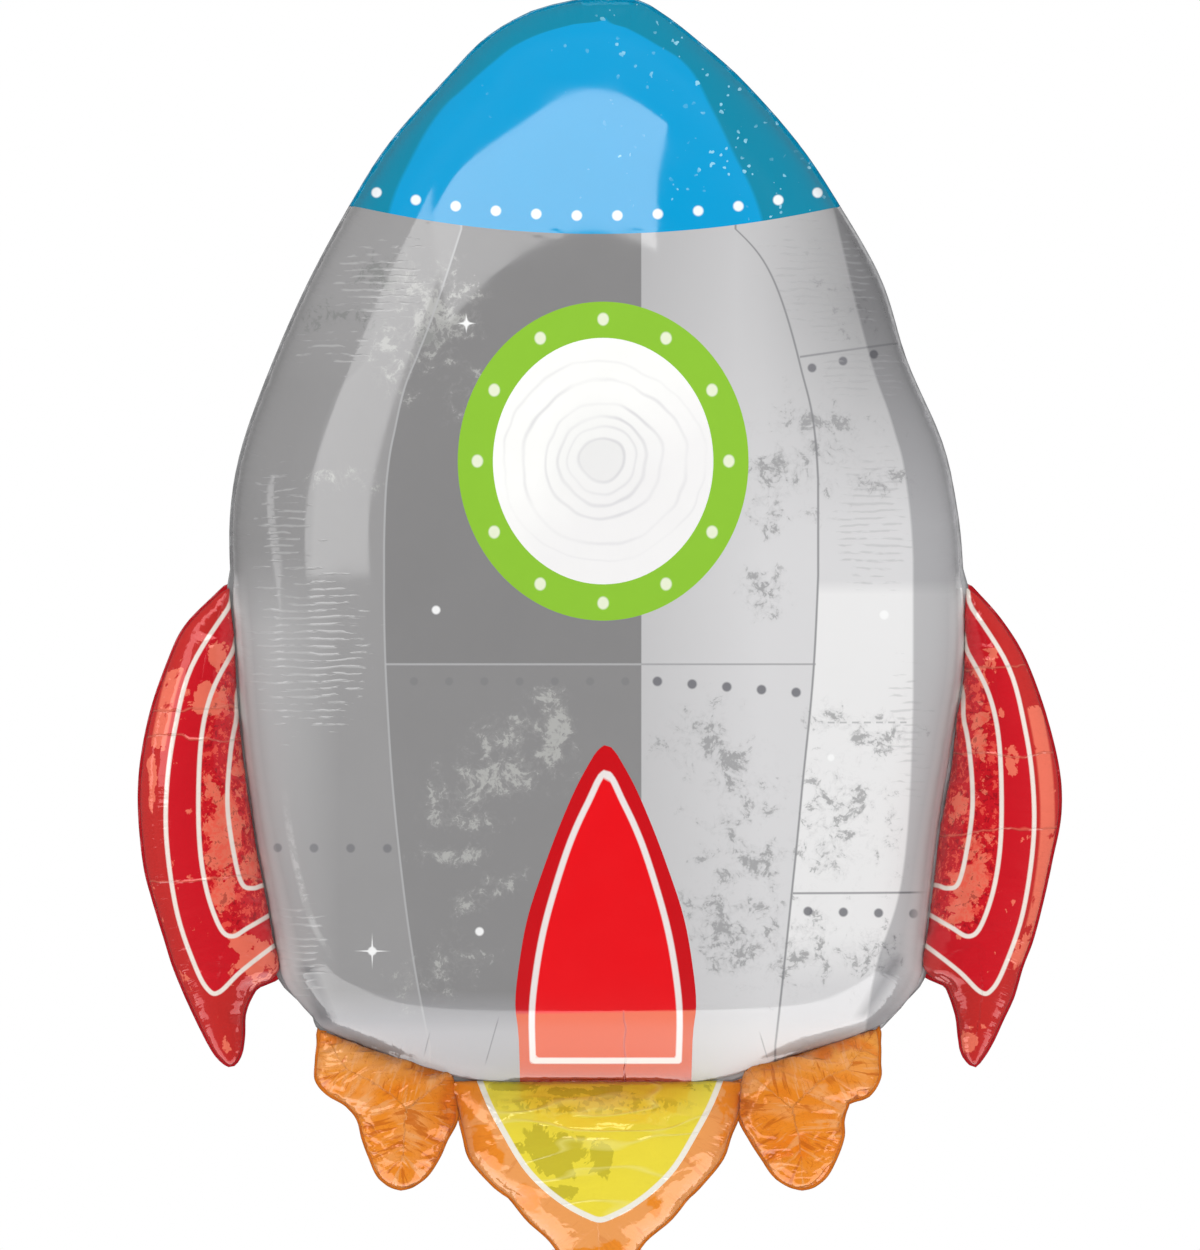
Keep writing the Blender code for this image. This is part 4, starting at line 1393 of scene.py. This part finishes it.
finPrint = {
    "line": 1.25, "lineInk": (1.0, 0.89, 0.81), "salmon": (1.0, 0.215, 0.135), "deep": (0.24, 0.004, 0.010),
    # painted highlights: centre x, z, half width, half height, turn, weight
    "salmonHighlight": (
        (-222, -81, 17, 12, 0.0, 1.0), (-221, -56, 9, 12, 0.3, 0.9), (-215, -158, 15, 46, 0.0, 0.88),
        (-196, -232, 20, 11, 0.4, 1.0), (-205, -220, 11, 8, 0.2, 0.9), (-257, -129, 3.5, 26, -0.05, 1.0),
        (-214, -279, 4, 10, 0.2, 0.9), (-200, -178, 10, 14, 0.0, 0.85), (-205, -120, 8, 20, 0.0, 0.6),
        (205, -74, 12, 7, 0.0, 0.95), (222, -100, 7, 40, 0.0, 0.5), (214, -180, 15, 38, -0.2, 0.66),
        (238, -117, 7, 14, 0.0, 0.7), (246, -226, 6, 20, -0.3, 0.95), (215, -277, 6, 12, 0.2, 0.9),
        (225, -60, 7, 16, -0.3, 0.65), (208, -140, 7, 24, 0.0, 0.62),
    ),
    # creases that cross the fin, bumped and painted with a highlight: height at the middle of the fin, slope
    "creases": ((-74.5, 0.05), (-107.0, -0.02), (-171.0, 0.06)),
}
markPatches("foil_fin_left", finPrint, ("salmonHighlight",))
markPatches("foil_fin_right", finPrint, ("salmonHighlight",))


def makeFinRed():
    foil = Foil("sideFinRed", "finRed")
    p = finPrint
    outer, middle, inner = (foil.attribute(name) for name in ("lineOuter", "lineMiddle", "lineInner"))
    foil.paint(outer.ramp(-0.0002, 0.0002), (0.62, 0.030, 0.026), 0.9)
    # a painted highlight band beside the outer line, higher on the left fin than on the right
    torn = foil.place.noise(70.0, 4.0, 0.65, 0.3)
    band = useGroup("line", Distance=outer - 0.0078, Half=0.0042, Softness=0.0006)
    right = foil.x > 0.0
    height = foil.z + torn.swing(0.006)
    band = band * height.within(right.sloped(-0.1065, -0.107), right.sloped(-0.0220, -0.064))
    foil.paint(band * torn.ramp(0.34, 0.40), p["salmon"], 0.9)
    # painted highlights in patches with torn edges, and, between the inner lines, dark flecks of painted
    # shade and bright red flecks of painted highlight
    spread = foil.attribute("salmonHighlight") + torn.swing(0.55)
    foil.paint(spread.ramp(0.42, 0.50), p["salmon"], 0.88)
    within = middle.ramp(-0.0004, 0.0004, 1.0, 0.0)
    flecks = foil.place.noise(230.0, 3.0, 0.7, 0.3)
    foil.paint(flecks.ramp(0.58, 0.62) * within.ramp(0.0, 1.0, 0.05, 0.8), p["deep"], 0.65)
    foil.paint(flecks.ramp(0.46, 0.42) * within, (1.0, 0.12, 0.08), 0.75)
    # painted highlights along the creases, which are also bumped
    for z, slope in p["creases"]:
        away = foil.z - foil.x.sloped(slope, (z + 10 * slope) * mm)
        away = away + foil.flat.noise(55.0, 2.0, 0.5).swing(0.0022)
        foil.lift(foil.line(away, 0.45, p["salmon"], 0.55, soft=0.4), 0.5)
    for distance in (outer, middle, inner):
        foil.line(distance, p["line"], p["lineInk"], soft=0.35)
    foil.shade(foil.seamShade(0.3), (0.45, 0.6, 0.6))
    return foil.finish()


flamePrint = {
    "peach": (1.0, 0.46, 0.17), "top": (1.0, 0.46, 0.10), "creaseShade": (0.66, 0.15, 0.010),
    "valleyShade": (1.0, 0.235, 0.012), "olive": (0.50, 0.42, 0.025),
    "coreLine": 3.3, "coreLineInk": (1.0, 0.96, 0.84),
    # centre flame: where the painted peach sheen, a painted highlight, breaks up into orange
    "orangePatch": (
        (-76, -306, 12, 20, 0.0, 1.0), (-62, -342, 10, 18, 0.5, 1.0), (-40, -366, 8, 10, 0.6, 0.8),
        (78, -306, 12, 20, 0.0, 0.8), (36, -372, 14, 9, -0.6, 0.9), (4, -402, 26, 14, 0.0, 0.55),
    ),
    "olivePatch": (
        (-28, -342, 28, 18, -0.35, 1.0), (3, -346, 9, 16, 0.0, 0.85), (2, -307, 34, 5, 0.0, 0.9),
        (-52, -303, 20, 4, 0.0, 0.8), (-20, -365, 14, 10, -0.4, 0.8), (60, -305, 16, 5, 0.0, 0.5),
    ),
    "oliveMarks": ((-2, -314, 74, 7, 0.0, 1.0),),
}
markPatches("foil_flame_centre", flamePrint, ("orangePatch",))
markPatches("foil_flame_core", flamePrint, ("olivePatch", "oliveMarks"))


def makeOrange(name, wide=False):
    foil = Foil(name, "orange")
    p = flamePrint
    # creases that fan out to the seam
    fan = foil.run.noise(230.0, 3.0, 0.62)
    if wide:
        # a painted peach sheen over the centre flame, and painted shade in its fanned creases
        torn = foil.place.noise(45.0, 3.0, 0.6, 0.5).swing(0.5)
        foil.paint((foil.attribute("orangePatch") + torn).ramp(0.50, 0.35), p["peach"], 0.64)
        foil.paint(fan.ramp(0.42, 0.36), p["creaseShade"], 0.25)
        return foil.finish()
    fold = foil.attribute("fold")
    # painted light on the top, where the hull shades the flames
    foil.paint(foil.z.ramp(-0.304, -0.284), p["top"], 0.6)
    # painted highlights on ridges and fanned creases, painted shade in valleys, fanned creases and crease
    # lines
    foil.paint(fold.ramp(0.15, 0.75), p["peach"], 0.5)
    foil.paint(fold.ramp(-0.05, -0.75), p["valleyShade"], 0.7)
    foil.paint(fan.ramp(0.555, 0.61), p["peach"], 0.65)
    foil.paint(fan.ramp(0.44, 0.385), p["creaseShade"], 0.75)
    creaseShadeLines = foil.place.ridge(120.0, 3.0, 0.6, 0.8)
    foil.paint(creaseShadeLines.ramp(0.0, 0.014, 1.0, 0.0), p["creaseShade"], 0.55)
    foil.lift(fan, 0.5)
    return foil.finish()


def makeYellow():
    foil = Foil("coreYellow", "yellow")
    p = flamePrint
    torn = foil.place.noise(60.0, 4.0, 0.62, 0.8).swing(0.45)
    foil.paint((foil.attribute("olivePatch") + torn).ramp(0.48, 0.54), p["olive"], 0.62)
    marks = foil.flat.noise(210.0, 2.0, 0.6, 0.3).ramp(0.50, 0.54)
    foil.paint(marks * foil.attribute("oliveMarks").ramp(0.3, 0.6), p["olive"], 0.55)
    # pale ridges, bumped and painted lighter as a painted highlight
    ridge = foil.flat.scaled((0.45, 0, 1.5)).ridge(30.0, 1.0, 0.5, 0.2)
    foil.lift(foil.paint(ridge.ramp(0.0, 0.022, 1.0, 0.0), (1.0, 0.92, 0.28), 0.45), 0.3)
    line, soft = p["coreLine"], 0.3
    foil.paint(foil.attribute("coreLine").ramp(-(line + soft) * mm, -(line - soft) * mm), p["coreLineInk"])
    return foil.finish()


finishes = {
    "silver": makeSilver("hullSilver"), "silverBack": makeSilver("hullSilverBack", mirrored=True),
    "blue": makeBlue("noseBlue"), "blueBack": makeBlue("noseBlueBack", mirrored=True),
    "green": makeGreen(), "white": makeWhite(), "red": makeRed(), "finRed": makeFinRed(),
    "orange": makeOrange("flameOrange"), "orangeWide": makeOrange("centreFlameOrange", wide=True),
    "yellow": makeYellow(),
    **{name: makeSeam(name) for name in seamPrint},
}
print("foil finishes made")


# Dressing: each piece's CAD node and finish

dressing = {
    "hang_tab_foil": ("hang_tab", "seamBlue"),
    "filling_tail_foil": ("filling_tail", "seamOrange"),
}
for part, finish in (
    ("nose", "blue"), ("hull", "silver"), ("porthole_ring", "green"), ("porthole_window", "white"),
    ("centre_fin", "red"), ("fin_left", "finRed"), ("fin_right", "finRed"), ("flame_left", "orange"),
    ("flame_right", "orange"), ("flame_centre", "orangeWide"), ("flame_core", "yellow"),
):
    # each sheet's print reads the same from its own side
    backFinish = finish + "Back" if finish in ("silver", "blue") else finish
    dressing[f"foil_{part}_front"] = (f"{part}_front", finish)
    dressing[f"foil_{part}_back"] = (f"{part}_back", backFinish)
for part, finish in (
    ("nose", "seamBlue"), ("hull", "seamSilver"), ("fin_left", "seamRed"), ("fin_right", "seamRed"),
    ("flame_left", "seamOrange"), ("flame_right", "seamOrange"), ("flame_centre", "seamOrange"),
):
    dressing[f"seam_{part}"] = (f"seal_{part}", finish)
inks = ("blue", "silver", "green", "white", "red", "orange", "yellow")
allPieces = {**pieces, **ribbons, **tabs}
for name, (node, finish) in dressing.items():
    piece = allPieces[name]
    slot = next(ink for ink in inks if ink in finish.lower()) + "_foil"
    # the hull's gloss mirrors only the studio
    piece.visible_glossy = not any(word in name for word in ("fin_left", "fin_right", "flame", "tail"))
    piece.data.materials.clear()
    piece.data.materials.append(finishes[finish])
    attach(piece, "root")
    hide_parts(node)
print("pieces dressed:", len(allPieces))
